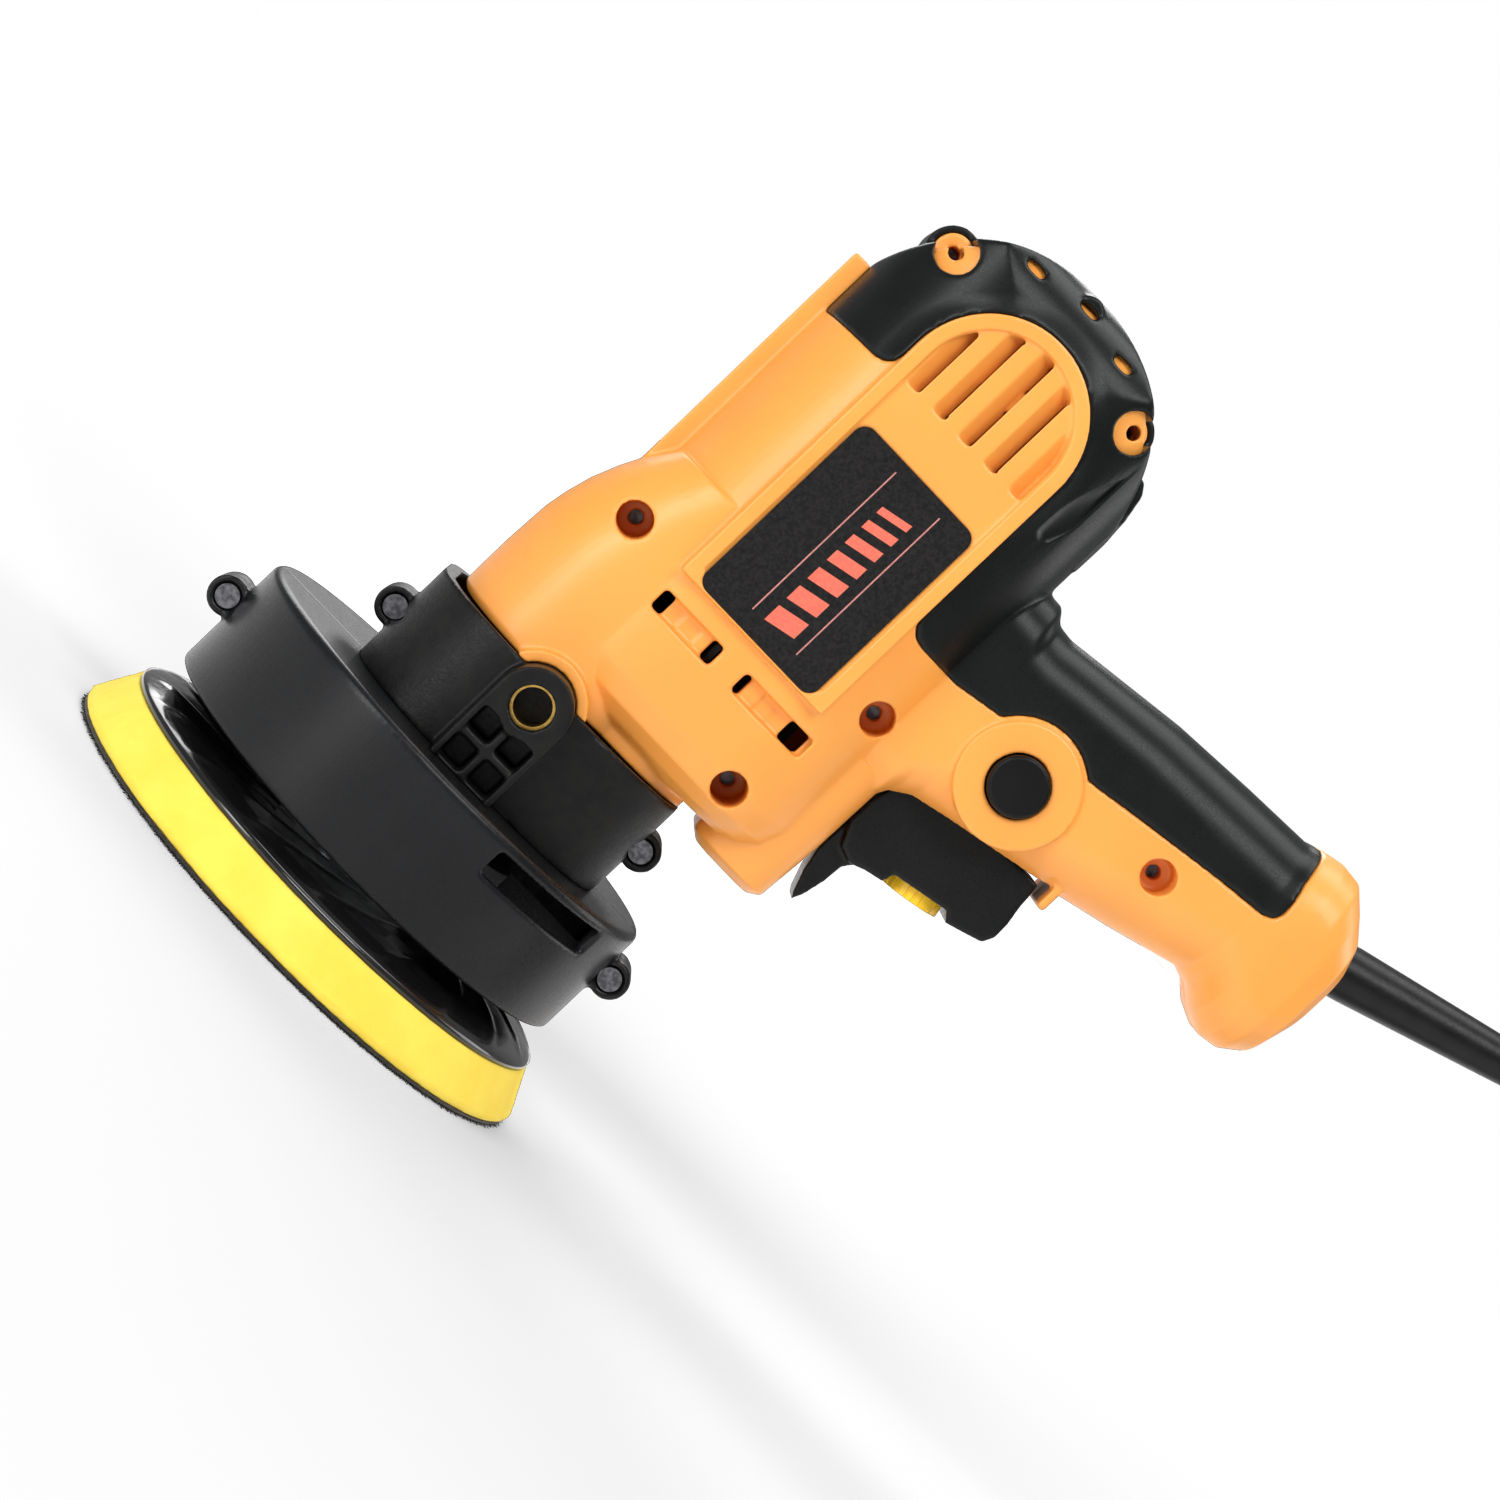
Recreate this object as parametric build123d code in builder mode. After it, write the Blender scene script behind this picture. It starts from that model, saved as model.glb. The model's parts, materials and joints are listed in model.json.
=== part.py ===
"""Handheld orbital car polisher: pistol-grip tool with a 125 mm pad.

Millimetres. The tool stands on its pad: the origin is on the polishing face, on the spindle
axis. +Z runs up the spindle to the rear of the motor, +X towards the grip, and the left side
of the tool faces -Y.
"""
from build123d import *
from math import acos, cos, pi, radians, sin, tan
import os

os.makedirs("parts", exist_ok=True)

# ---------------------------------------------------------------- driving dimensions
# pad
pad_radius = 62.5
foam_top_radius = 57.6
foam_top = 12.0
hook_thickness = 1.2
plate_rim = 1.4
plate_crown = 5.2
orbit = 4.0

# drum and gear neck
drum_radius = 54.0
drum_bottom = 20.5
drum_top = 48.0
drum_wall = 2.6
neck_left = -29.5
neck_right = 39.5
neck_half_depth = 33.0
neck_corner = 24.0
neck_top = 73.0
neck_wall = 3.0
lug_radius = 4.4
lug_half_length = 7.0
lug_screw_radius = 1.5

# gear train
gear_module = 1.0
gear_teeth = 38
pinion_teeth = 9
pressure_angle = radians(25)
gear_addendum = 0.8
pinion_addendum = 1.0
tooth_gap = 0.25
backlash = 0.16
gear_bottom = 59.0
gear_width = 9.0

# motor barrel
barrel_half_width = 37.3
barrel_half_depth = 31.0
barrel_corner = 26.0
barrel_bottom = 75.8
cap_centre_z = 169.6
cap_radius = 37.8
cap_shift = -1.0
cap_edge = 15.0
nose_radius = 25.0
nose_half_depth = 29.4
nose_corner = 22.0
shell_wall = 3.2
skin = 1.6

# grip
grip_half_depth = 18.0
grip_end = 161.2

# side panel, label and openings
panel_proud = 1.0
panel_rim = 0.9
panel_rim_width = 3.2
panel_half_width = 20.3
panel_bottom = 108.5
panel_arch_z = 174.0
label_width = 32.6
label_height = 46.4
label_z = 132.3
label_thickness = 0.9
label_sunk = 0.5
louvre_count = 5
louvre_pitch = 7.4
louvre_width = 3.4
louvre_bottom = 166.9

# fasteners
case_screw_radius = 1.5
case_screw_head = 3.2
recess_radius = 3.9
boss_radius = 4.7
screw_gap = 0.1

# motor
stator_radius = 25.0
rotor_radius = 16.2
rotor_bottom = 112.0
rotor_top = 142.0
commutator_radius = 10.0
fan_radius = 22.5
fan_bottom = 93.0
fan_height = 10.0
brush_z = 160.0

# trigger, dial and lock button
trigger_half_width = 9.0
trigger_gap = 0.5
trigger_travel = 6.0
dial_radius = 6.9
dial_height = 7.4
dial_x = 87.6
dial_z = 94.3
dial_tilt = 11.0
button_x = 83.8
button_z = 127.3
button_radius = 6.6

# side handle bosses
handle_boss_x = 2.5
handle_boss_z = 68.4
handle_boss_radius = 8.3
handle_boss_proud = 9.0
handle_thread_radius = 4.0
handle_insert_radius = 6.0

# cord
cord_radius = 3.5
boot_length = 48.0
boot_angle = 17.0
coil_x = 250.0
coil_outer = 47.5
coil_inner = 24.5
coil_height = 15.0

# screws, studs and fits
stud_radius = 4.0
stud_head_radius = 6.5
stud_head_height = 5.0
stud_reach = 9.0
fit_gap = 0.02
running_gap = 0.03

# pad bearing, hub and balance weight
pad_bearing_bore = 5.0
pad_bearing_outer = 15.0
pad_bearing_width = 9.0
pad_bearing_bottom = 22.6
flange_radius = 12.0
flange_top = 21.4
weight_radius = 47.0
weight_cut = 3.0
weight_height = 5.0
hub_flange_radius = 26.0
hub_neck_radius = 9.5
weight_screw_radius = 2.0

# shafts and their bearings
spindle_tail_radius = 5.0
lower_bore = 6.0
lower_outer = 14.0
lower_width = 8.0
lower_bottom = 50.0
small_bore = 4.0
small_outer = 11.0
small_width = 7.0
upper_bottom = 75.0
front_bottom = 76.5
pinion_bore = 2.5
rear_bore = 3.5
rear_outer = 9.5
rear_width = 6.0
rear_bottom = 177.0
rotor_slots = 12
fan_blades = 11
commutator_bottom = 151.5
commutator_height = 17.0
plate_left = -19.0
plate_right = 36.8
plate_half_depth = 22.0
plate_low = 73.3
skirt_wall = 2.2
plate_high = 83.6

# body features
rib_front = -18.0
rib_half_depth = 6.0
rib_bottom = 116.0
rib_top = 179.0
label_corner = 2.8
louvre_slope = 0.95
recess_floor = 9.0
rear_boss_radius = 4.4
rear_boss_reach = 13.5
bump_radius = 3.6
bump_reach = 25.0
wing_half_depth = 12.0
button_pad_radius = 13.5
exhaust_slots = ((4.3, 21.1), (27.6, 47.3))
exhaust_baffles = (
    # start, stop, depth of the face
    (7.2, 11.1, 3.1),
    (11.1, 15.8, 2.5),
    (15.8, 18.4, 1.9),
    (29.4, 33.2, 2.3),
    (33.2, 37.0, 2.8),
    (37.0, 41.0, 3.1),
)
exhaust_z = 101.2
exhaust_height = 4.9
drum_edge = 1.6
window_start = radians(-70)
window_stop = radians(-32)
window_low = 39.3
window_high = 45.4
neck_lugs = [(-31.0, 59.5), (41.0, 60.8)]
drum_lugs = [(-56.5, 36.0), (56.0, 37.5)]
pocket_size = 5.9
boss_border = 1.3
insert_outer = 39.0
insert_length = 7.4

# trigger opening and what works in it
opening_left = 66.1
opening_right = 105.6
opening_low = 98.0
opening_high = 124.6
trigger_lip = 113.0
trigger_top = 116.0
plunger_x = 97.0
plunger_radius = 2.4
button_face = 21.0
button_shoulder = 14.5
button_seat = 7.4
button_stem = 2.5
button_stem_end = 4.5
switch_x = 88.0
switch_length = 38.0
switch_half_width = 8.5
switch_low = 132.0
switch_high = 150.0
switch_z = 141.0
capacitor_x = 122.0
capacitor_z = 148.0
brush_reach = 26.5

# cord outlet and cord
boot_radius = 6.2
boot_tip_radius = 4.6
boot_socket = 12.0
clamp_back = 15.0
clamp_half_width = 9.5
plug_length = 34.0
plug_width = 26.0
plug_height = 14.0
pin_length = 19.0
pin_radius = 2.2

# outlines seen from the left side, as x, z
skin_outline = [
    (-40.0, 220.0),
    (-40.0, 165.8),
    (-0.6, 165.9),
    (1.5, 166.6),
    (2.7, 168.0),
    (3.2, 170.4),
    (20.0, 170.4),
    (20.0, 137.0),
    (43.8, 137.0),
    (44.4, 134.6),
    (46.2, 132.9),
    (48.6, 132.4),
    (59.7, 132.4),
    (71.2, 134.6),
    (84.0, 137.0),
    (97.1, 139.1),
    (106.8, 140.8),
    (126.3, 144.0),
    (138.5, 145.5),
    (140.6, 146.6),
    (141.5, 148.6),
    (141.2, 152.0),
    (140.3, 156.4),
    (140.0, 172.0),
    (90.0, 220.0),
]
trigger_outline = [
    (66.4, 104.0),
    (66.4, 97.0),
    (69.0, 92.0),
    (72.6, 90.8),
    (76.0, 92.2),
    (80.2, 93.2),
    (80.8, 95.9),
    (94.0, 98.6),
    (95.6, 96.7),
    (100.0, 98.1),
    (103.8, 99.4),
    (105.0, 102.0),
    (104.8, 106.0),
    (104.0, 110.0),
    (103.4, trigger_top),
    (69.0, trigger_top),
    (67.2, 108.0),
]
fin_outline = [
    (66.4, 104.0),
    (66.2, 88.0),
    (67.3, 83.0),
    (69.2, 78.0),
    (70.0, 76.8),
    (71.0, 79.0),
    (72.0, 84.0),
    (72.4, 89.0),
    (74.4, 91.8),
    (75.0, 104.0),
]

wing_outline = [
    (49.0, 166.0),
    (50.0, 178.0),
    (52.0, 186.0),
    (53.4, 189.2),
    (56.8, 189.4),
    (58.8, 187.0),
    (60.1, 181.0),
    (60.7, 174.0),
    (60.6, 166.0),
]

# ---------------------------------------------------------------- derived values
disc_out = (Align.CENTER, Align.CENTER, Align.MIN)
disc_in = (Align.CENTER, Align.CENTER, Align.MAX)
seat_post = (Align.CENTER, Align.MAX, Align.CENTER)
boot_way = Vector(cos(radians(boot_angle)), 0, sin(radians(boot_angle)))
boot_plane = Plane(origin=(160.8, 0, 149.4), x_dir=(0, 1, 0), z_dir=boot_way)
clamp_x = boot_plane.origin.X - clamp_back * boot_way.X
clamp_z = boot_plane.origin.Z - clamp_back * boot_way.Z
dial_way = (-sin(radians(dial_tilt)), 0, cos(radians(dial_tilt)))
dial_plane = Plane(origin=(dial_x, 0, dial_z), x_dir=(0, 1, 0), z_dir=dial_way)
bottom = (Align.CENTER, Align.CENTER, Align.MIN)
top = (Align.CENTER, Align.CENTER, Align.MAX)
pad_shaft_top = pad_bearing_bottom + pad_bearing_width + 1.5
pad_bearing_top = pad_bearing_bottom + pad_bearing_width
hub_floor = pad_bearing_top + 5.4
hub_top = drum_top - 3.2
spindle_bottom = pad_bearing_top + 3.0
upper_top = upper_bottom + small_width + 0.5
motor_x = gear_module * (gear_teeth + pinion_teeth) / 2
pad_y = -orbit
cavity = barrel_half_depth - shell_wall
panel_face = barrel_half_depth + panel_proud
mid_plane = Plane.XZ


def save(piece, name):
    """Label a finished piece and write it to its own file."""
    piece.part.label = name
    export_step(piece.part, f"parts/{name}.step")


# ---------------------------------------------------------------- forms used more than once
barrel_rows = [
    # height, half width, half depth, corner
    (0.0, -9.0, -8.0, -8.0),
    (1.8, -5.0, -4.2, -4.0),
    (5.0, -1.6, -1.2, -1.0),
    (10.0, 0.0, 0.0, 0.0),
]
nose_rows = [
    # z, left end
    (73.0, -23.6),
    (74.4, -25.0),
    (86.0, -25.0),
    (96.0, -24.6),
    (101.0, -23.8),
    (107.0, -22.3),
    (113.0, -20.0),
    (118.0, -17.6),
    (125.0, -13.4),
]
grip_rows = [
    # x, bottom, top, half depth, corner
    (44.0, 100.0, 160.0, 18.0, 12.0),
    (64.5, 102.5, 159.5, 18.0, 12.0),
    (67.0, 106.5, 156.6, 18.0, 12.0),
    (71.0, 109.3, 156.2, 18.0, 12.0),
    (80.0, 111.5, 157.5, 18.0, 12.0),
    (100.0, 115.5, 160.4, 18.0, 13.0),
    (120.0, 120.5, 162.0, 17.6, 14.0),
    (137.0, 125.4, 163.0, 17.4, 14.0),
    (141.0, 124.2, 164.4, 18.4, 14.0),
    (145.0, 121.0, 165.4, 19.2, 14.0),
    (150.0, 118.8, 165.0, 19.4, 14.0),
    (154.5, 119.6, 161.0, 19.2, 13.5),
    (158.8, 123.0, 156.6, 17.6, 12.0),
    (grip_end, 131.0, 151.5, 13.0, 8.0),
]
foot_rows = [
    # z, front, back, half depth, corner
    (71.0, 47.0, 62.4, 12.0, 5.0),
    (72.8, 44.6, 64.7, 16.0, 8.0),
    (88.0, 44.0, 65.6, 17.4, 9.0),
    (108.0, 44.0, 65.8, 18.0, 9.0),
]


def scaled(value, start, end, inset):
    """Move a station in from both ends of its run by the inset."""
    share = (value - start) / (end - start)
    return start + inset + share * (end - start - 2 * inset)


def barrel_form(inset):
    """Motor barrel: rounded sections rising from the front edge to the cap."""
    with BuildPart() as form:
        for rise, width, depth, corner in barrel_rows:
            base = barrel_bottom + inset + rise
            with BuildSketch(Plane.XY.offset(base)):
                with Locations((motor_x, 0)):
                    RectangleRounded(
                        2 * (barrel_half_width + width - inset),
                        2 * (barrel_half_depth + depth - inset),
                        barrel_corner + corner - inset,
                    )
        with BuildSketch(Plane.XY.offset(cap_centre_z)):
            with Locations((motor_x, 0)):
                RectangleRounded(
                    2 * (barrel_half_width - inset),
                    2 * (barrel_half_depth - inset),
                    barrel_corner - inset,
                )
        loft(ruled=True)
    return form.part


def cap_form(inset):
    """Rear cap: the barrel section cut to an arch from the side and rounded from behind."""
    with BuildPart() as form:
        with BuildSketch(Plane.XY.offset(cap_centre_z)):
            with Locations((motor_x, 0)):
                RectangleRounded(
                    2 * (barrel_half_width - inset),
                    2 * (barrel_half_depth - inset),
                    barrel_corner - inset,
                )
        extrude(amount=cap_radius)
        with BuildSketch(Plane.XZ):
            with Locations((motor_x + cap_shift, cap_centre_z)):
                Circle(cap_radius - inset)
        extrude(amount=2 * barrel_half_depth, both=True, mode=Mode.INTERSECT)
        with BuildSketch(Plane.YZ.offset(motor_x)):
            with Locations((0, cap_centre_z)):
                RectangleRounded(
                    2 * (barrel_half_depth - inset), 2 * (cap_radius - inset), cap_edge - inset
                )
        extrude(amount=2 * barrel_half_width, both=True, mode=Mode.INTERSECT)
    return form.part


def nose_form(inset):
    """Round nose over the spindle that leans back into the barrel."""
    with BuildPart() as form:
        for height, left in nose_rows:
            station = scaled(height, nose_rows[0][0], nose_rows[-1][0], inset)
            with BuildSketch(Plane.XY.offset(station)):
                with Locations(((nose_radius + left) / 2, 0)):
                    reach = nose_radius - left - 2 * inset
                    RectangleRounded(
                        reach,
                        2 * (nose_half_depth - inset),
                        min(nose_corner - inset, 0.47 * reach),
                    )
        loft(ruled=True)
    return form.part


def grip_form(inset):
    """Pistol grip with its flared end, sections across the tool."""
    with BuildPart() as form:
        for place, low, high, depth, corner in grip_rows:
            station = scaled(place, grip_rows[0][0], grip_rows[-1][0], inset)
            with BuildSketch(Plane.YZ.offset(station)):
                with Locations((0, (low + high) / 2)):
                    RectangleRounded(
                        2 * (depth - inset), high - low - 2 * inset, corner - inset
                    )
        loft(ruled=True)
    return form.part


def foot_form(inset):
    """Guard in front of the trigger."""
    with BuildPart() as form:
        for height, front, back, depth, corner in foot_rows:
            station = scaled(height, foot_rows[0][0], foot_rows[-1][0], inset)
            with BuildSketch(Plane.XY.offset(station)):
                with Locations(((front + back) / 2, 0)):
                    RectangleRounded(
                        back - front - 2 * inset, 2 * (depth - inset), corner - inset
                    )
        loft(ruled=True)
    return form.part


def case_form(inset):
    """The whole body, taken in by the inset on every side."""
    with BuildPart() as form:
        add(barrel_form(inset))
        add(cap_form(inset))
        add(nose_form(inset))
        add(grip_form(inset))
        add(foot_form(inset))
    return form.part


def arch(width_half, bottom, centre, face, depth):
    """Arch-topped slab standing on the left side, its outer face at -face."""
    with BuildPart() as slab:
        with BuildSketch(Plane.XZ.offset(face)):
            with Locations((motor_x, centre)):
                Circle(width_half)
            with Locations((motor_x, (bottom + centre) / 2)):
                Rectangle(2 * width_half, centre - bottom)
        extrude(amount=-depth)
    return slab.part


def toothed_wheel(teeth, tip_radius, root_radius, height):
    """Spur wheel with involute flanks, one tooth centred on +X."""
    pitch_radius = gear_module * teeth / 2
    base_radius = pitch_radius * cos(pressure_angle)
    half_pitch = pi / (2 * teeth) - backlash / (4 * pitch_radius)
    involute_pitch = tan(pressure_angle) - pressure_angle
    start_radius = max(base_radius, root_radius) + 0.01
    steps = 4
    with BuildPart() as wheel:
        with BuildSketch():
            Circle(root_radius)
            with PolarLocations(0, teeth):
                upper = []
                for step in range(steps + 1):
                    radius = start_radius + (tip_radius - start_radius) * step / steps
                    roll = acos(base_radius / radius)
                    angle = half_pitch + involute_pitch - (tan(roll) - roll)
                    upper.append((radius * cos(angle), radius * sin(angle)))
                inner = root_radius * 0.9 / start_radius
                foot = (upper[0][0] * inner, upper[0][1] * inner)
                lower = [(x, -y) for x, y in reversed(upper)]
                Polygon(*([foot] + upper + lower + [(foot[0], -foot[1])]), align=None)
        extrude(amount=height)
    return wheel.part


# ---------------------------------------------------------------- pad
with BuildPart() as hook_face:
    with Locations((0, pad_y, 0)):
        Cylinder(pad_radius - 0.7, hook_thickness, align=(Align.CENTER, Align.CENTER, Align.MIN))
save(hook_face, "hook_face")

with BuildPart() as foam_pad:
    with BuildSketch(Plane.XZ.offset(-pad_y)):
        with BuildLine():
            Polyline(
                (0, hook_thickness),
                (pad_radius - 0.5, hook_thickness),
                (pad_radius, hook_thickness + 1.6),
                (foam_top_radius, foam_top),
                (0, foam_top),
                close=True,
            )
        make_face()
    revolve(axis=Axis((0, pad_y, 0), (0, 0, 1)))
    with Locations((0, pad_y, foam_top)):
        Cylinder(
            stud_head_radius + screw_gap,
            stud_head_height + screw_gap,
            align=(Align.CENTER, Align.CENTER, Align.MAX),
            mode=Mode.SUBTRACT,
        )
save(foam_pad, "foam_pad")

with BuildPart() as backing_plate:
    with BuildSketch(Plane.XZ.offset(-pad_y)):
        with BuildLine():
            Line((0, foam_top), (foam_top_radius - 0.5, foam_top))
            Line((foam_top_radius - 0.5, foam_top), (foam_top_radius - 0.5, foam_top + plate_rim))
            Spline(
                (foam_top_radius - 0.5, foam_top + plate_rim),
                (0.8 * foam_top_radius, foam_top + 0.86 * plate_crown),
                (0.5 * foam_top_radius, foam_top + plate_crown),
                tangents=((-1, 0.55), (-1, 0)),
            )
            Line((0.5 * foam_top_radius, foam_top + plate_crown), (0, foam_top + plate_crown))
            Line((0, foam_top + plate_crown), (0, foam_top))
        make_face()
    revolve(axis=Axis((0, pad_y, 0), (0, 0, 1)))
    with Locations((0, pad_y, foam_top)):
        Cylinder(stud_radius + screw_gap, 40, mode=Mode.SUBTRACT)
save(backing_plate, "backing_plate")

plate_top = foam_top + plate_crown
with BuildPart() as pad_spindle:
    with Locations((0, pad_y, plate_top)):
        Cylinder(flange_radius, flange_top - plate_top, align=bottom)
    with Locations((0, pad_y, plate_top)):
        Cylinder(pad_bearing_bore - running_gap, pad_shaft_top - plate_top, align=bottom)
    with Locations((0, pad_y, plate_top)):
        Cylinder(stud_radius + screw_gap, stud_reach + 0.5, align=bottom, mode=Mode.SUBTRACT)
save(pad_spindle, "pad_spindle")

with BuildPart() as pad_stud:
    with Locations((0, pad_y, foam_top)):
        Cylinder(stud_head_radius, stud_head_height, align=top)
    with Locations((0, pad_y, foam_top - 1)):
        Cylinder(stud_radius, plate_crown + stud_reach + 1, align=bottom)
    with BuildSketch(Plane.XY.offset(foam_top - stud_head_height)):
        with Locations((0, pad_y)):
            RegularPolygon(3.0, 6)
    extrude(amount=3.0, mode=Mode.SUBTRACT)
save(pad_stud, "pad_stud")

with BuildPart() as pad_circlip:
    with Locations((0, pad_y, pad_bearing_top + 0.2)):
        Cylinder(pad_bearing_bore + 2.4, 1.0, align=bottom)
        Cylinder(pad_bearing_bore + 0.02, 1.0, align=bottom, mode=Mode.SUBTRACT)
    with Locations((0, pad_y - 7, pad_bearing_top + 0.2)):
        Box(2.4, 8, 3, align=bottom, mode=Mode.SUBTRACT)
save(pad_circlip, "pad_circlip")


# ---------------------------------------------------------------- eccentric drive
def bearing(bore, outer, width, place):
    """Closed ball bearing as a ring with a shallow shield groove on each face."""
    with BuildPart() as ring:
        with Locations(place):
            Cylinder(outer, width, align=bottom)
            Cylinder(bore, width, align=bottom, mode=Mode.SUBTRACT)
        middle = (bore + outer) / 2
        half = (outer - bore) / 5
        for height in (place[2] - 1.6, place[2] + width - 0.4):
            with BuildSketch(Plane.XY.offset(height)):
                with Locations((place[0], place[1])):
                    Circle(middle + half)
                    Circle(middle - half, mode=Mode.SUBTRACT)
            extrude(amount=2.0, mode=Mode.SUBTRACT)
    return ring


pad_bearing = bearing(
    pad_bearing_bore, pad_bearing_outer, pad_bearing_width, (0, pad_y, pad_bearing_bottom)
)
save(pad_bearing, "pad_bearing")

hub_bottom = pad_bearing_bottom - 0.6
weight_screw_places = [(side * 16, 16, hub_floor + weight_height) for side in (-1, 1)]
with BuildPart() as eccentric_hub:
    with Locations((0, pad_y, hub_bottom)):
        Cylinder(pad_bearing_outer + 3, hub_floor - hub_bottom, align=bottom)
    with Locations((0, 0, hub_floor - 4)):
        Cylinder(hub_flange_radius, 4, align=bottom)
    with Locations((0, 0, hub_floor)):
        Cylinder(hub_neck_radius, hub_top - hub_floor, align=bottom)
    with Locations((0, pad_y, hub_bottom)):
        Cylinder(
            pad_bearing_outer + running_gap,
            pad_bearing_top - hub_bottom,
            align=bottom,
            mode=Mode.SUBTRACT,
        )
    with Locations((0, pad_y, pad_bearing_top)):
        Cylinder(pad_bearing_bore + 4, 1.8, align=bottom, mode=Mode.SUBTRACT)
    with Locations((0, 0, spindle_bottom)):
        Cylinder(
            spindle_tail_radius + running_gap,
            hub_top - spindle_bottom,
            align=bottom,
            mode=Mode.SUBTRACT,
        )
    with Locations(*weight_screw_places):
        Cylinder(weight_screw_radius + screw_gap, 60, mode=Mode.SUBTRACT)
save(eccentric_hub, "eccentric_hub")

with BuildPart() as counterweight:
    with BuildSketch(Plane.XY.offset(hub_floor)):
        Circle(weight_radius)
        Circle(hub_neck_radius + 0.2, mode=Mode.SUBTRACT)
        with Locations((0, -weight_radius + weight_cut)):
            Rectangle(3 * weight_radius, 2 * weight_radius, mode=Mode.SUBTRACT)
    extrude(amount=weight_height)
    fillet(counterweight.edges().filter_by(Axis.Z), radius=2)
    chamfer(counterweight.faces().sort_by(Axis.Z)[-1].edges(), length=1)
    with Locations(*weight_screw_places):
        Cylinder(weight_screw_radius + screw_gap, 60, mode=Mode.SUBTRACT)
save(counterweight, "counterweight")

with BuildPart() as weight_screws:
    with Locations(*weight_screw_places):
        Cylinder(weight_screw_radius + 1.5, 1.9, align=bottom)
        Cylinder(weight_screw_radius, weight_height + 3.4, align=top)
save(weight_screws, "weight_screws")

with BuildPart() as spindle:
    with Locations((0, 0, spindle_bottom)):
        Cylinder(spindle_tail_radius, hub_top + 1.0 - spindle_bottom, align=bottom)
    with Locations((0, 0, hub_top + 0.4)):
        Cylinder(lower_bore - fit_gap, gear_bottom - hub_top - 0.4, align=bottom)
    with Locations((0, 0, lower_bottom + lower_width)):
        Cylinder(lower_bore + 1.5, gear_bottom - lower_bottom - lower_width, align=bottom)
    with Locations((0, 0, gear_bottom)):
        Cylinder(spindle_tail_radius, gear_width + 2, align=bottom)
    with Locations((0, 0, gear_bottom + gear_width)):
        Cylinder(small_bore - fit_gap, upper_top - gear_bottom - gear_width, align=bottom)
save(spindle, "spindle")

gear_pitch = gear_module * gear_teeth / 2
pinion_pitch = gear_module * pinion_teeth / 2
with BuildPart() as driven_gear:
    add(
        toothed_wheel(
            gear_teeth,
            gear_pitch + gear_addendum,
            gear_pitch - pinion_addendum - tooth_gap,
            gear_width,
        ).moved(Location((0, 0, gear_bottom)))
    )
    with Locations((0, 0, gear_bottom)):
        Cylinder(spindle_tail_radius + fit_gap, 3 * gear_width, mode=Mode.SUBTRACT)
    with BuildSketch(Plane.XY.offset(gear_bottom + gear_width)):
        Circle(gear_pitch - 4)
        Circle(spindle_tail_radius + 4, mode=Mode.SUBTRACT)
    extrude(amount=-2, mode=Mode.SUBTRACT)
save(driven_gear, "driven_gear")

lower_bearing = bearing(lower_bore, lower_outer, lower_width, (0, 0, lower_bottom))
save(lower_bearing, "lower_spindle_bearing")
upper_bearing = bearing(small_bore, small_outer, small_width, (0, 0, upper_bottom))
save(upper_bearing, "upper_spindle_bearing")

# ---------------------------------------------------------------- motor
with BuildPart() as pinion:
    add(
        toothed_wheel(
            pinion_teeth,
            pinion_pitch + pinion_addendum,
            pinion_pitch - gear_addendum - tooth_gap,
            gear_width + 1,
        ).moved(Location((motor_x, 0, gear_bottom - 0.5)))
    )
    with Locations((motor_x, 0, gear_bottom)):
        Cylinder(pinion_bore + fit_gap, 3 * gear_width, mode=Mode.SUBTRACT)
save(pinion, "pinion")

with BuildPart() as armature_shaft:
    with Locations((motor_x, 0, gear_bottom - 1)):
        Cylinder(pinion_bore, gear_width + 4, align=bottom)
    with Locations((motor_x, 0, gear_bottom + gear_width + 2)):
        Cylinder(small_bore - fit_gap, rear_bottom - gear_bottom - gear_width - 2, align=bottom)
    with Locations((motor_x, 0, rear_bottom)):
        Cylinder(rear_bore - fit_gap, rear_width + 0.5, align=bottom)
    with Locations((motor_x, 0, front_bottom + small_width)):
        Cylinder(small_bore + 1.2, 1.4, align=bottom)
save(armature_shaft, "armature_shaft")

with BuildPart() as armature_core:
    with Locations((motor_x, 0, rotor_bottom)):
        Cylinder(rotor_radius, rotor_top - rotor_bottom, align=bottom)
        with PolarLocations(rotor_radius, rotor_slots):
            Box(5, 1.8, rotor_top - rotor_bottom, align=bottom, mode=Mode.SUBTRACT)
        Cylinder(
            small_bore + fit_gap, rotor_top - rotor_bottom, align=bottom, mode=Mode.SUBTRACT
        )
save(armature_core, "armature_core")

with BuildPart() as armature_windings:
    for start, height in ((rotor_bottom - 7, 7), (rotor_top, 7.5)):
        with Locations((motor_x, 0, start)):
            Cylinder(rotor_radius - 2.2, height, align=bottom)
            Cylinder(small_bore + 1.5, height, align=bottom, mode=Mode.SUBTRACT)
    fillet(armature_windings.edges().filter_by(GeomType.CIRCLE).group_by(SortBy.RADIUS)[-1], 2.4)
save(armature_windings, "armature_windings")

with BuildPart() as commutator:
    with Locations((motor_x, 0, commutator_bottom)):
        Cylinder(commutator_radius, commutator_height, align=bottom)
        with PolarLocations(commutator_radius, rotor_slots * 2):
            Box(1.2, 0.5, commutator_height, align=bottom, mode=Mode.SUBTRACT)
        Cylinder(small_bore + fit_gap, commutator_height, align=bottom, mode=Mode.SUBTRACT)
save(commutator, "commutator")

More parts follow.
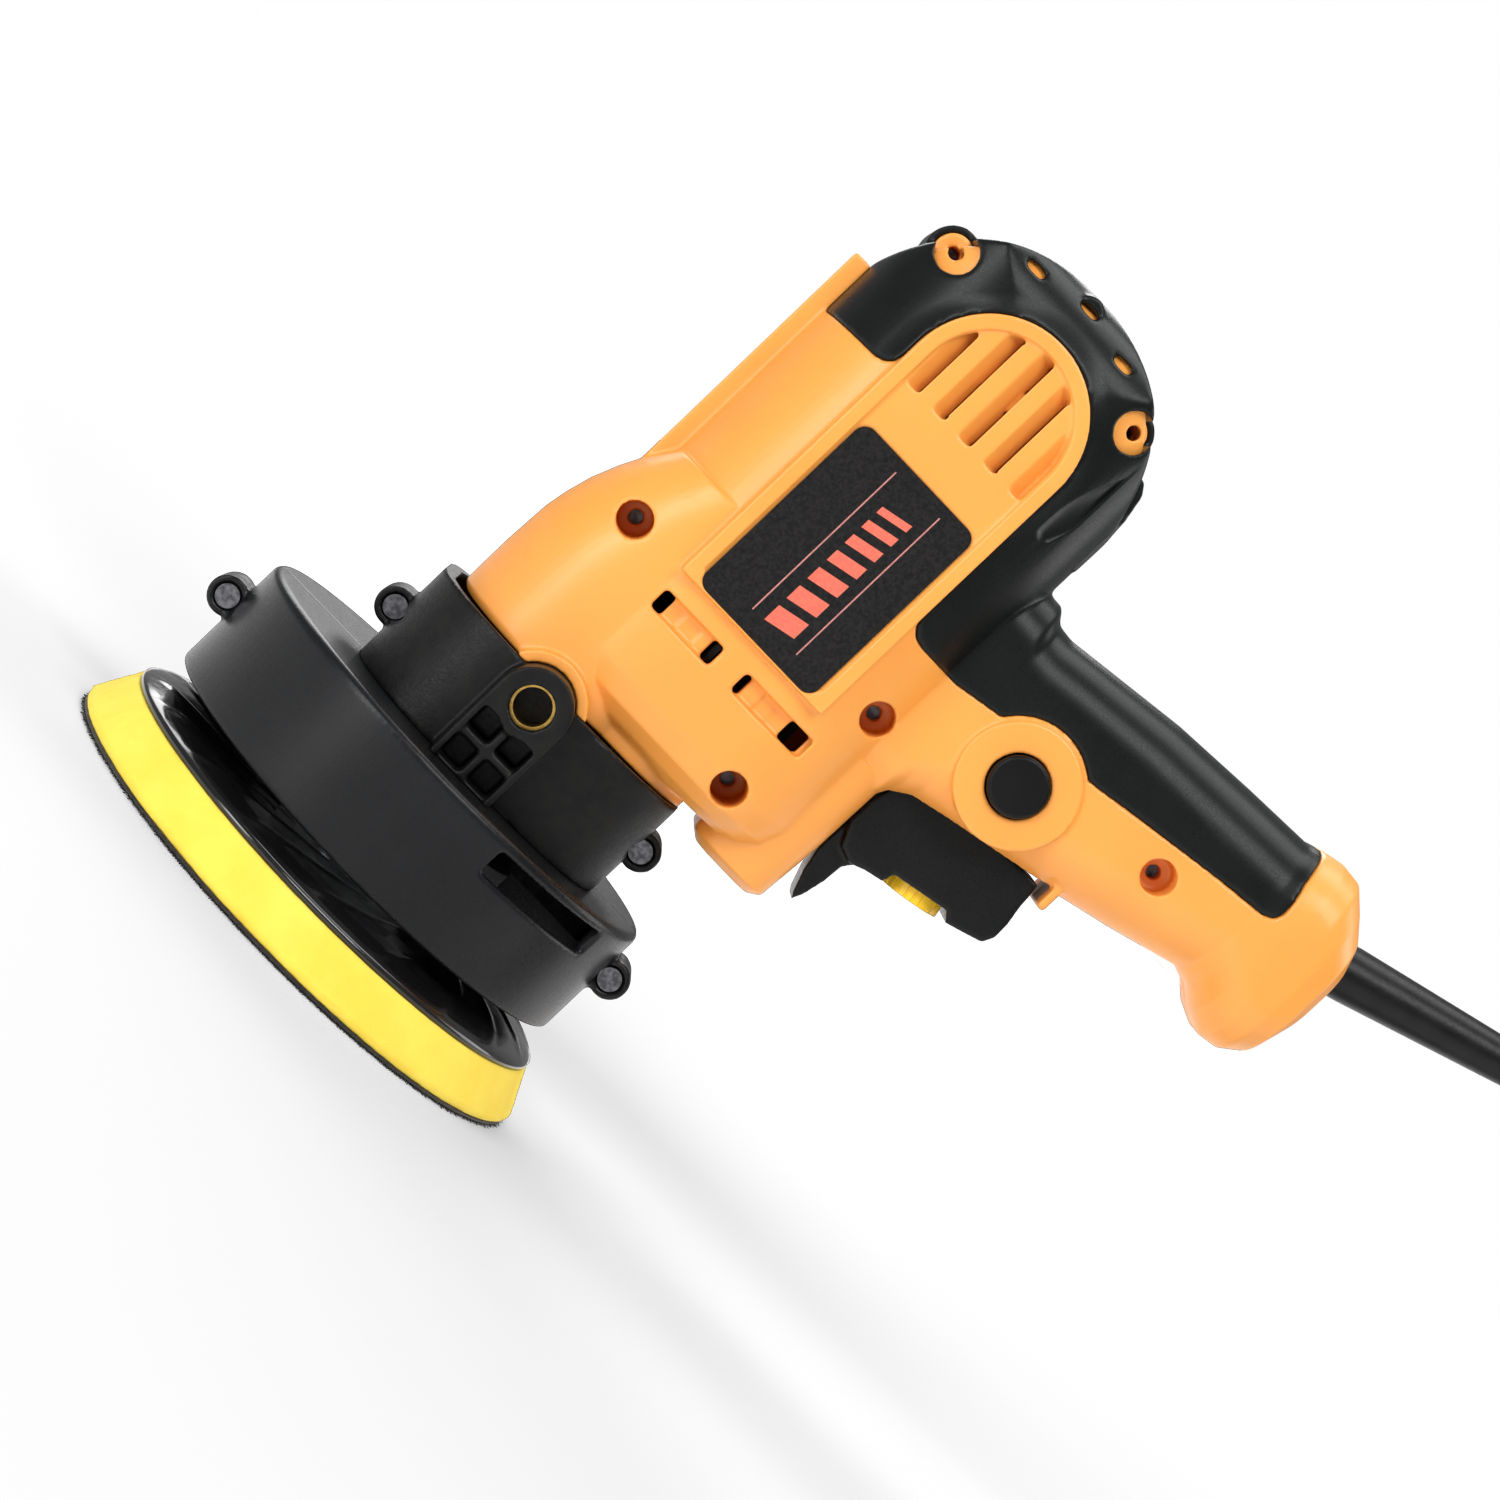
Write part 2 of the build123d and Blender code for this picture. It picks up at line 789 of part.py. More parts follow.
with BuildPart() as cooling_fan:
    with Locations((motor_x, 0, fan_bottom)):
        Cylinder(fan_radius, 1.4, align=bottom)
        Cylinder(7, fan_height, align=bottom)
        with PolarLocations(15, fan_blades):
            Box(14.4, 1.4, fan_height, align=bottom)
        Cylinder(small_bore + fit_gap, fan_height, align=bottom, mode=Mode.SUBTRACT)
save(cooling_fan, "cooling_fan")

with BuildPart() as stator_core:
    with Locations((motor_x, 0, rotor_bottom - 2)):
        Cylinder(stator_radius, rotor_top - rotor_bottom + 4, align=bottom)
        Cylinder(
            rotor_radius + 0.8, rotor_top - rotor_bottom + 4, align=bottom, mode=Mode.SUBTRACT
        )
        with PolarLocations(0, 2, start_angle=90):
            with Locations((stator_radius - 4.2, 0, 0)):
                Box(4.2, 18.6, 160, mode=Mode.SUBTRACT)
save(stator_core, "stator_core")

with BuildPart() as field_coils:
    with Locations((motor_x, 0, rotor_bottom - 6)):
        with PolarLocations(0, 2, start_angle=90):
            with Locations((stator_radius - 4.2, 0, 0)):
                Box(3.6, 18, rotor_top - rotor_bottom + 12, align=bottom)
    fillet(field_coils.edges().filter_by(Axis.X), 1.6)
save(field_coils, "field_coils")

front_bearing = bearing(small_bore, small_outer, small_width, (motor_x, 0, front_bottom))
save(front_bearing, "front_motor_bearing")
rear_bearing = bearing(rear_bore, rear_outer, rear_width, (motor_x, 0, rear_bottom))
save(rear_bearing, "rear_motor_bearing")

with BuildPart() as bearing_plate:
    with BuildSketch(Plane.XY.offset(plate_low)):
        with Locations(((plate_left + plate_right) / 2, 0)):
            RectangleRounded(plate_right - plate_left, 2 * plate_half_depth, 14)
    extrude(amount=plate_high - plate_low)
    with Locations((0, 0, plate_low)):
        Cylinder(
            small_outer + fit_gap, upper_top - plate_low - 0.5, align=bottom, mode=Mode.SUBTRACT
        )
    with Locations((motor_x, 0, front_bottom)):
        Cylinder(small_outer + fit_gap, 30, align=bottom, mode=Mode.SUBTRACT)
    with Locations((0, 0, plate_low), (motor_x, 0, plate_low)):
        Cylinder(small_bore + 3, 60, mode=Mode.SUBTRACT)
save(bearing_plate, "bearing_plate")

# ---------------------------------------------------------------- body shells
outer_form = case_form(0)
skin_form = case_form(skin)
inner_form = case_form(shell_wall)

with BuildPart() as skin_region:
    with BuildSketch(Plane.XZ):
        Polygon(*skin_outline, align=None)
        with Locations((motor_x, panel_arch_z)):
            Circle(panel_half_width, mode=Mode.SUBTRACT)
        with Locations((motor_x, panel_arch_z)):
            Rectangle(2 * panel_half_width, 140, align=(Align.CENTER, Align.MAX), mode=Mode.SUBTRACT)
        with Locations((button_x, button_z)):
            Circle(button_pad_radius + 1, mode=Mode.SUBTRACT)
    extrude(amount=2 * barrel_half_depth, both=True)

with BuildPart() as soft_skin:
    add(outer_form)
    add(skin_form, mode=Mode.SUBTRACT)
    add(skin_region, mode=Mode.INTERSECT)

with BuildPart() as left_space:
    with Locations((motor_x, 0, drum_top)):
        Box(400, 200, 400, align=(Align.CENTER, Align.MAX, Align.CENTER))

case_screws = (
    # x, z
    (-10.1, 108.4),
    (53.4, 116.0),
    (42.3, 84.6),
    (117.9, 135.4),
)
rear_screws = (
    (-4.2, 192.2),
    (46.6, 193.2),
)
cap_bumps = (
    (9.2, 200.8),
    (22.7, 203.1),
    (35.0, 200.3),
)


def slanted_slot(centre_x, low, high):
    """Cutter for one intake slot, its sides slanted so the blades overlap."""
    start = -(panel_face + panel_rim + 1)
    depth = panel_face + panel_rim + 1 - cavity + 3
    shift = louvre_slope * depth
    centre_x = centre_x - louvre_slope * (panel_rim + 1)
    with BuildPart() as cutter:
        with BuildSketch(Plane.XY.offset(low)):
            Polygon(
                (centre_x - louvre_width / 2, start),
                (centre_x + louvre_width / 2, start),
                (centre_x + louvre_width / 2 + shift, start + depth),
                (centre_x - louvre_width / 2 + shift, start + depth),
                align=None,
            )
        extrude(amount=high - low)
    return cutter.part


inner_arch = panel_half_width - panel_rim_width - 0.4
louvre_offsets = [(n - (louvre_count - 1) / 2) * louvre_pitch for n in range(louvre_count)]

with BuildPart() as louvre_cuts:
    for across in louvre_offsets:
        add(slanted_slot(motor_x + across, louvre_bottom, panel_arch_z + panel_half_width))
    add(
        arch(inner_arch, louvre_bottom - 1, panel_arch_z, panel_face + panel_rim + 2, 20),
        mode=Mode.INTERSECT,
    )

with BuildPart() as case_bosses:
    for place_x, place_z in case_screws:
        with Locations((place_x, 0, place_z)):
            Cylinder(boss_radius, 2 * barrel_half_depth, rotation=(90, 0, 0))
    add(outer_form, mode=Mode.INTERSECT)

with BuildPart() as half_case:
    add(outer_form)
    # side panel with its raised rim
    add(arch(panel_half_width, panel_bottom, panel_arch_z, panel_face + panel_rim, 6))
    add(
        arch(
            panel_half_width - panel_rim_width,
            panel_bottom + panel_rim_width,
            panel_arch_z,
            panel_face + panel_rim,
            panel_rim,
        ),
        mode=Mode.SUBTRACT,
    )
    # spine rib along the front
    with Locations((rib_front, 0, rib_bottom)):
        Box(8, 2 * rib_half_depth, rib_top - rib_bottom, align=(Align.MIN, Align.CENTER, Align.MIN))
    # swelling over the side handle boss
    with Locations((handle_boss_x, 0, handle_boss_z)):
        Cylinder(handle_boss_radius + 2.6, 2 * neck_half_depth - 1, rotation=(90, 0, 0))
    with Locations((handle_boss_x, 0, neck_top)):
        Box(30, 200, 60, align=top, mode=Mode.SUBTRACT)
    with Locations((handle_boss_x, -neck_half_depth + 3.2, handle_boss_z)):
        Cylinder(
            handle_boss_radius + 0.3, 20, rotation=(90, 0, 0), align=disc_out, mode=Mode.SUBTRACT
        )
    # disc round the lock button
    with Locations((button_x, -grip_half_depth + 3, button_z)):
        Cylinder(button_pad_radius, 4.0, rotation=(90, 0, 0), align=disc_out)
    add(inner_form, mode=Mode.SUBTRACT)
    # label recess
    with BuildSketch(Plane.XZ.offset(panel_face - label_sunk)):
        with Locations((motor_x, label_z)):
            RectangleRounded(
                label_width + 2 * screw_gap, label_height + 2 * screw_gap, label_corner + screw_gap
            )
    extrude(amount=20, mode=Mode.SUBTRACT)
    # intake slots
    add(louvre_cuts, mode=Mode.SUBTRACT)
    # exhaust slots
    for start, stop in exhaust_slots:
        with Locations(((start + stop) / 2, -barrel_half_depth, exhaust_z)):
            Box(stop - start, 12, exhaust_height, mode=Mode.SUBTRACT)
    for start, stop, sunk in exhaust_baffles:
        with Locations((start, -barrel_half_depth + sunk, exhaust_z)):
            Box(
                stop - start,
                shell_wall - sunk + 2.4,
                exhaust_height + 3,
                align=(Align.MIN, Align.MIN, Align.CENTER),
            )
    # skirt from the barrel down to the neck, round the front opening
    with BuildSketch(Plane.XY.offset(neck_top)):
        with Locations(((plate_left + plate_right) / 2, 0)):
            RectangleRounded(
                plate_right - plate_left + 2 * skirt_wall + 0.6,
                2 * (plate_half_depth + skirt_wall) + 0.6,
                14.3 + skirt_wall,
            )
    extrude(amount=barrel_bottom - neck_top + 4)
    # front opening over the gear plate
    with BuildSketch(Plane.XY.offset(neck_top)):
        with Locations(((plate_left + plate_right) / 2, 0)):
            RectangleRounded(
                plate_right - plate_left + 0.6, 2 * plate_half_depth + 0.6, 14.3
            )
    extrude(amount=plate_high - neck_top + 0.2, mode=Mode.SUBTRACT)
    add(case_bosses)
    # rear bearing seat on a cross web
    with Locations((motor_x + cap_shift, 0, rear_bottom + rear_width / 2)):
        Box(2 * barrel_half_width - 5, 7, 4.5)
    with Locations((motor_x, 0, rear_bottom + rear_width / 2)):
        Box(7, 2 * barrel_half_depth - 5, 4.5)
        Cylinder(rear_outer + 3, rear_width)
        Cylinder(rear_outer + fit_gap, rear_width, mode=Mode.SUBTRACT)
    # seats for the gear plate, brush holders, switch and cord clamp
    with Locations((motor_x, -cavity + 2, brush_z)):
        Box(13, 5, 13)
        Box(8.0, 8, 8.0, mode=Mode.SUBTRACT)
    with Locations((switch_x, -switch_half_width - 0.2, switch_z)):
        Box(6, grip_half_depth - switch_half_width - 2, 6, align=(Align.CENTER, Align.MAX, Align.CENTER))
    with Locations((clamp_x, 0, clamp_z)):
        Box(10, 2 * grip_half_depth - 4, 5)
        Box(10.4, 2 * clamp_half_width + 0.4, 8, mode=Mode.SUBTRACT)
    add(left_space, mode=Mode.INTERSECT)
    # rear screw bosses and cap bumps come through the soft skin
    add(soft_skin, mode=Mode.SUBTRACT)
    for place_x, place_z in rear_screws:
        with Locations((place_x, 0, place_z)):
            Cylinder(rear_boss_radius, rear_boss_reach + 0.7, rotation=(90, 0, 0), align=disc_out)
    # trigger opening
    with Locations((opening_left, 0, opening_low)):
        Box(
            opening_right - opening_left,
            2 * (trigger_half_width + trigger_gap),
            opening_high - opening_low,
            align=(Align.MIN, Align.CENTER, Align.MIN),
            mode=Mode.SUBTRACT,
        )
    # stop lip behind the trigger
    with Locations((opening_right, 0, trigger_lip)):
        Box(1.8, 2 * trigger_half_width + 6, 8, align=(Align.MIN, Align.CENTER, Align.MIN))
    add(left_space, mode=Mode.INTERSECT)
    # boot outlet
    with Locations(boot_plane.offset(-5)):
        Cylinder(boot_radius + 0.3, 60, align=bottom, mode=Mode.SUBTRACT)
    # screw recesses
    for place_x, place_z in case_screws:
        with Locations((place_x, -recess_floor, place_z)):
            Cylinder(recess_radius, 60, rotation=(90, 0, 0), align=disc_out, mode=Mode.SUBTRACT)
    for place_x, place_z in case_screws + rear_screws:
        with Locations((place_x, 0, place_z)):
            Cylinder(case_screw_radius + screw_gap, 90, rotation=(90, 0, 0), mode=Mode.SUBTRACT)

with BuildPart() as left_housing:
    add(half_case)
    with Locations((button_x, 0, button_z)):
        Cylinder(button_radius + 0.35, 60, rotation=(90, 0, 0), align=disc_out, mode=Mode.SUBTRACT)
    with Locations((button_x, -button_shoulder - 0.4, button_z)):
        Cylinder(button_radius + 1.8, 5, rotation=(90, 0, 0), align=disc_in, mode=Mode.SUBTRACT)
    with Locations((button_x, -button_seat, button_z)):
        Box(2 * button_radius + 6, 1.6, 7)
        Cylinder(button_stem + 0.3, 3, rotation=(90, 0, 0), mode=Mode.SUBTRACT)
    for side in (-1, 1):
        with Locations((button_x + side * (button_radius + 2.4), -button_seat, button_z)):
            Box(1.4, grip_half_depth - shell_wall - button_seat + 1, 7, align=seat_post)
save(left_housing, "left_housing")

with BuildPart() as right_flipped:
    add(half_case)
    for place_x, place_z in rear_screws:
        with Locations((place_x, -rear_boss_reach + 3, place_z)):
            Cylinder(case_screw_head, 20, rotation=(90, 0, 0), align=disc_out, mode=Mode.SUBTRACT)

with BuildPart() as right_housing:
    add(right_flipped.part.mirror(mid_plane))
save(right_housing, "right_housing")

with BuildPart() as left_grip_cover:
    add(soft_skin)
    for place_x, place_z in cap_bumps:
        with Locations((place_x, 0, place_z)):
            Cylinder(bump_radius, 2 * bump_reach, rotation=(90, 0, 0))
        with BuildSketch(Plane.XZ.offset(bump_reach - 1.5)):
            with Locations((place_x, place_z + 0.4)):
                SlotOverall(4.6, 1.8)
        extrude(amount=10, mode=Mode.SUBTRACT)
    with BuildSketch(Plane.XZ):
        Polygon(*wing_outline, align=None)
    extrude(amount=wing_half_depth, both=True)
    for place_x, place_z in rear_screws:
        with Locations((place_x, 0, place_z)):
            Cylinder(rear_boss_radius + 1.7, 2 * rear_boss_reach, rotation=(90, 0, 0))
    add(skin_form, mode=Mode.SUBTRACT)
    for place_x, place_z in rear_screws:
        with Locations((place_x, 0, place_z)):
            Cylinder(rear_boss_radius, 90, rotation=(90, 0, 0), mode=Mode.SUBTRACT)
    add(left_space, mode=Mode.INTERSECT)
save(left_grip_cover, "left_grip_cover")

with BuildPart() as right_grip_cover:
    add(mirror(left_grip_cover.part, about=mid_plane))
save(right_grip_cover, "right_grip_cover")

for side, name in ((-1, "left_label"), (1, "right_label")):
    with BuildPart() as label_plate:
        with BuildSketch(Plane.XZ.offset(-side * (panel_face - label_sunk))):
            with Locations((motor_x, label_z)):
                RectangleRounded(label_width, label_height, label_corner)
        extrude(amount=-side * label_thickness)
    save(label_plate, name)

with BuildPart() as case_screw_set:
    for place_x, place_z in case_screws:
        with Locations((place_x, recess_floor, place_z)):
            Cylinder(case_screw_head, 2.4, rotation=(90, 0, 0), align=disc_in)
            Cylinder(case_screw_radius, recess_floor + 4.0, rotation=(90, 0, 0), align=disc_out)
    for place_x, place_z in case_screws:
        with Locations((place_x, recess_floor + 2.4, place_z)):
            Box(4.0, 2.0, 0.8, mode=Mode.SUBTRACT)
            Box(0.8, 2.0, 4.0, mode=Mode.SUBTRACT)
save(case_screw_set, "case_screws")

with BuildPart() as rear_screw_set:
    for place_x, place_z in rear_screws:
        with Locations((place_x, rear_boss_reach - 3, place_z)):
            Cylinder(case_screw_head - 0.3, 2.4, rotation=(90, 0, 0), align=disc_in)
            Cylinder(case_screw_radius, rear_boss_reach + 1, rotation=(90, 0, 0), align=disc_out)
save(rear_screw_set, "rear_screws")

# ---------------------------------------------------------------- gear neck and drum
neck_mid = (neck_left + neck_right) / 2
with BuildPart() as neck_half:
    with BuildSketch(Plane.XY.offset(drum_top)):
        with Locations((neck_mid, 0)):
            RectangleRounded(neck_right - neck_left, 2 * neck_half_depth, neck_corner)
    extrude(amount=neck_top - drum_top)
    # side handle boss with its lightening pockets
    with BuildSketch(Plane.XZ.offset(neck_half_depth - 3)):
        with Locations((handle_boss_x, handle_boss_z)):
            Circle(handle_boss_radius)
        with Locations((handle_boss_x, drum_top)):
            Rectangle(
                2 * handle_boss_radius,
                handle_boss_z - drum_top,
                align=(Align.CENTER, Align.MIN),
            )
    extrude(amount=handle_boss_proud + 3)
    with BuildSketch(Plane.XY.offset(drum_top + 3)):
        with Locations((neck_mid, 0)):
            RectangleRounded(
                neck_right - neck_left - 2 * neck_wall,
                2 * (neck_half_depth - neck_wall),
                neck_corner - neck_wall,
            )
    extrude(amount=neck_top - drum_top, mode=Mode.SUBTRACT)
    with BuildSketch(Plane.XZ.offset(neck_half_depth + handle_boss_proud - 0.6)):
        with Locations((handle_boss_x, drum_top)):
            Rectangle(
                2 * (handle_boss_radius - boss_border),
                handle_boss_z - handle_insert_radius - drum_top - 0.6,
                align=(Align.CENTER, Align.MIN),
            )
    extrude(amount=10, mode=Mode.SUBTRACT)
    for row in range(2):
        for side in (-1, 1):
            with Locations(
                (
                    handle_boss_x + side * (pocket_size / 2 + 0.9),
                    -neck_half_depth - handle_boss_proud,
                    drum_top + 0.8 + row * (pocket_size + 1.9),
                )
            ):
                Box(pocket_size, 2 * handle_boss_proud - 1, pocket_size, align=bottom, mode=Mode.SUBTRACT)
    with Locations((handle_boss_x, -neck_half_depth - handle_boss_proud, handle_boss_z)):
        Cylinder(
            handle_thread_radius + 0.6, 6, rotation=(90, 0, 0), mode=Mode.SUBTRACT
        )
        Cylinder(
            handle_insert_radius, 2 * handle_boss_proud + 3, rotation=(90, 0, 0), mode=Mode.SUBTRACT
        )
    with Locations((handle_boss_x, -neck_half_depth - handle_boss_proud, handle_boss_z)):
        Cylinder(handle_insert_radius + 1, 3, rotation=(90, 0, 0), align=disc_in)
        Cylinder(handle_thread_radius + 0.6, 8, rotation=(90, 0, 0), mode=Mode.SUBTRACT)
    # lower bearing seat
    with Locations((0, 0, drum_top)):
        Cylinder(lower_outer + 3, lower_bottom + lower_width - drum_top, align=bottom)
        Cylinder(lower_bore + 3, 60, mode=Mode.SUBTRACT)
    with Locations((0, 0, lower_bottom)):
        Cylinder(lower_outer + fit_gap, 30, align=bottom, mode=Mode.SUBTRACT)
    # screw lugs
    for place_x, place_z in neck_lugs:
        with Locations((place_x, 0, place_z)):
            Cylinder(lug_radius, 2 * lug_half_length, rotation=(90, 0, 0))
    for place_x, place_z in neck_lugs:
        with Locations((place_x, 0, place_z)):
            Cylinder(lug_screw_radius + screw_gap, 60, rotation=(90, 0, 0), mode=Mode.SUBTRACT)
        with Locations((place_x, -lug_half_length + 1.6, place_z)):
            Cylinder(2.9, 20, rotation=(90, 0, 0), align=disc_out, mode=Mode.SUBTRACT)
    add(left_space, mode=Mode.INTERSECT)
save(neck_half, "left_gear_neck")

with BuildPart() as right_neck:
    add(mirror(neck_half.part, about=mid_plane))
save(right_neck, "right_gear_neck")

with BuildPart() as handle_inserts:
    for side, reach in ((-1, disc_in), (1, disc_out)):
        with Locations((handle_boss_x, side * insert_outer, handle_boss_z)):
            Cylinder(
                handle_insert_radius - fit_gap, insert_length, rotation=(90, 0, 0), align=reach
            )
    with Locations((handle_boss_x, 0, handle_boss_z)):
        Cylinder(handle_thread_radius, 120, rotation=(90, 0, 0), mode=Mode.SUBTRACT)
save(handle_inserts, "handle_inserts")

with BuildPart() as drum_half:
    with Locations((0, 0, drum_bottom)):
        Cylinder(drum_radius, drum_top - drum_bottom, align=bottom)
    fillet(drum_half.faces().sort_by(Axis.Z)[-1].edges(), radius=drum_edge)
    for place_x, place_z in drum_lugs:
        with Locations((place_x, 0, place_z)):
            Cylinder(lug_radius, 2 * lug_half_length, rotation=(90, 0, 0))
    with Locations((0, 0, drum_bottom)):
        Cylinder(
            drum_radius - drum_wall, drum_top - drum_bottom - 3, align=bottom, mode=Mode.SUBTRACT
        )
        Cylinder(hub_neck_radius + 2, 60, align=bottom, mode=Mode.SUBTRACT)
    for place_x, place_z in drum_lugs:
        with Locations((place_x, 0, place_z)):
            Cylinder(lug_screw_radius + screw_gap, 60, rotation=(90, 0, 0), mode=Mode.SUBTRACT)
        with Locations((place_x, -lug_half_length + 1.6, place_z)):
            Cylinder(2.9, 20, rotation=(90, 0, 0), align=disc_out, mode=Mode.SUBTRACT)
    add(left_space, mode=Mode.INTERSECT)

with BuildPart() as window_cutter:
    with BuildSketch(Plane.XY.offset(window_low)):
        Polygon(
            (0, 0),
            (80 * cos(window_start), 80 * sin(window_start)),
            (80 * cos((window_start + window_stop) / 2), 80 * sin((window_start + window_stop) / 2)),
            (80 * cos(window_stop), 80 * sin(window_stop)),
            align=None,
        )
    extrude(amount=window_high - window_low)

with BuildPart() as left_drum:
    add(drum_half)
    add(window_cutter, mode=Mode.SUBTRACT)
save(left_drum, "left_drum")

with BuildPart() as right_drum:
    add(mirror(drum_half.part, about=mid_plane))
save(right_drum, "right_drum")

with BuildPart() as lug_screws:
    for place_x, place_z in neck_lugs + drum_lugs:
        with Locations((place_x, lug_half_length - 1.6, place_z)):
            Cylinder(2.7, 1.8, rotation=(90, 0, 0), align=disc_in)
            Cylinder(lug_screw_radius, 2 * lug_half_length - 3.4, rotation=(90, 0, 0), align=disc_out)
        with Locations((place_x, -lug_half_length + 1.5, place_z)):
            Cylinder(2.6, 1.4, rotation=(90, 0, 0), align=disc_out)
save(lug_screws, "lug_screws")

# ---------------------------------------------------------------- trigger and controls
with BuildPart() as trigger:
    with BuildSketch(Plane.XZ):
        Polygon(*trigger_outline, align=None)
    extrude(amount=trigger_half_width, both=True)
    with BuildSketch(Plane.XZ):
        Polygon(*fin_outline, align=None)
    extrude(amount=trigger_half_width - 3.0, both=True)
    with Locations((plunger_x, 0, trigger_top)):
        Cylinder(plunger_radius, switch_low + 3 - trigger_top, align=bottom)
    with Locations(dial_plane):
        Cylinder(dial_radius + 0.5, dial_height + 4.3, align=bottom, mode=Mode.SUBTRACT)
    with Locations(dial_plane):
        Cylinder(2.2, dial_height + 8.3, align=bottom, mode=Mode.SUBTRACT)
save(trigger, "trigger")

with BuildPart() as speed_dial:
    with BuildSketch(dial_plane.offset(0)):
        Circle(dial_radius)
        with PolarLocations(dial_radius, 24):
            Circle(0.28, mode=Mode.SUBTRACT)
    extrude(amount=dial_height)
    with BuildSketch(dial_plane.offset(dial_height)):
        Circle(1.9)
    extrude(amount=7.0)
save(speed_dial, "speed_dial")

with BuildPart() as lock_button:
    with Locations((button_x, -button_face, button_z)):
        Cylinder(button_radius, button_face - button_shoulder, rotation=(90, 0, 0), align=disc_in)
    fillet(lock_button.faces().sort_by(Axis.Y)[0].edges(), radius=0.9)
    with Locations((button_x, -button_shoulder, button_z)):
        Cylinder(button_radius + 1.4, 1.0, rotation=(90, 0, 0), align=disc_in)
        Cylinder(button_stem, button_shoulder - button_stem_end, rotation=(90, 0, 0), align=disc_in)
save(lock_button, "lock_button")


def coil_spring(place, way, radius, wire, length, turns):
    """Round-wire compression spring standing on a place and pointing along a way."""
    plane = Plane(origin=place, z_dir=way)
    path = plane.location * Helix(pitch=length / turns, height=length, radius=radius)
    with BuildPart() as spring:
        with BuildSketch(Plane(origin=path @ 0, z_dir=path % 0)):
            Circle(wire)
        sweep(path=path)
    return spring


trigger_spring = coil_spring(
    (plunger_x, 0, trigger_top + 0.8), (0, 0, 1), plunger_radius + 1.4, 0.5,
    switch_low - trigger_top - 1.6, 6,
)
save(trigger_spring, "trigger_spring")

lock_spring = coil_spring(
    (button_x, -button_seat - 1.4, button_z), (0, -1, 0), button_stem + 1.2, 0.35,
    button_shoulder - button_seat - 3.1, 3,
)
save(lock_spring, "lock_spring")

with BuildPart() as switch_body:
    with Locations((switch_x, 0, switch_low)):
        Box(switch_length, 2 * switch_half_width, switch_high - switch_low, align=bottom)
    fillet(switch_body.edges().filter_by(Axis.Y), 1.5)
    with Locations((plunger_x, 0, switch_low)):
        Cylinder(
            plunger_radius + 0.3, trigger_travel + 4.5, align=bottom, mode=Mode.SUBTRACT
        )
save(switch_body, "power_switch")

with BuildPart() as capacitor:
    with Locations((capacitor_x, 0, capacitor_z)):
        Box(11, 9, 14)
    fillet(capacitor.edges(), 1)
save(capacitor, "capacitor")

for side, name in ((-1, "left"), (1, "right")):
    with BuildPart() as brush:
        with Locations((motor_x, side * (commutator_radius + 0.15), brush_z)):
            Box(5, 10, 6, align=(Align.CENTER, Align.MAX if side < 0 else Align.MIN, Align.CENTER))
    save(brush, f"{name}_brush")
    with BuildPart() as holder:
        with Locations((motor_x, side * (commutator_radius + 1.5), brush_z)):
            Box(
                7.6, brush_reach - commutator_radius, 7.6,
                align=(Align.CENTER, Align.MAX if side < 0 else Align.MIN, Align.CENTER),
            )
            Box(
                5.2, 2 * (brush_reach - commutator_radius - 1.2), 6.2, mode=Mode.SUBTRACT,
            )
    save(holder, f"{name}_brush_holder")

# ---------------------------------------------------------------- cord
with BuildPart() as strain_relief:
    with BuildSketch(boot_plane.offset(-8)):
        Circle(boot_radius + 1.0)
    extrude(amount=2.6)
    with BuildSketch(boot_plane.offset(-8)):
        Circle(boot_radius)
    extrude(amount=12)
    with BuildSketch(boot_plane.offset(4)):
        Circle(boot_radius)
    with BuildSketch(boot_plane.offset(boot_length)):
        Circle(boot_tip_radius)
    loft()
    with BuildSketch(boot_plane.offset(boot_length)):
        Circle(cord_radius)
    extrude(amount=-boot_socket, mode=Mode.SUBTRACT)
save(strain_relief, "strain_relief")

with BuildPart() as inner_cord:
    with BuildSketch(boot_plane.offset(-8)):
        Circle(cord_radius)
    extrude(amount=-13)
save(inner_cord, "inner_cord")

with BuildPart() as cord_clamp:
    with BuildSketch(boot_plane.offset(-clamp_back - 4)):
        RectangleRounded(2 * clamp_half_width, 12, 2)
        Circle(cord_radius + fit_gap, mode=Mode.SUBTRACT)
    extrude(amount=8)
    with Locations((clamp_x, -6.6, clamp_z), (clamp_x, 6.6, clamp_z)):
        Cylinder(1.4, 60, mode=Mode.SUBTRACT)
save(cord_clamp, "cord_clamp")

with BuildPart() as clamp_screws:
    with Locations((clamp_x, -6.6, clamp_z + 7.8), (clamp_x, 6.6, clamp_z + 7.8)):
        Cylinder(2.4, 1.6, align=bottom)
        Cylinder(1.3, 11, align=top)
save(clamp_screws, "clamp_screws")

with BuildPart() as switch_leads:
    for side in (-1, 1):
        start = Vector(clamp_x - 9.2, side * 1.9, clamp_z - 2.6)
        with BuildLine() as lead_path:
            FilletPolyline(
                start,
                start + Vector(-5, side * 1.0, -1.4),
                (capacitor_x + 7.4, side * 7.2, capacitor_z - 5),
                (switch_x + switch_length / 2 + 0.1, side * 7.2, capacitor_z - 5.5),
                radius=2.5,
            )
        with BuildSketch(Plane(origin=lead_path.line @ 0, z_dir=lead_path.line % 0)):
            Circle(1.0)
        sweep(path=lead_path.line)
save(switch_leads, "switch_leads")

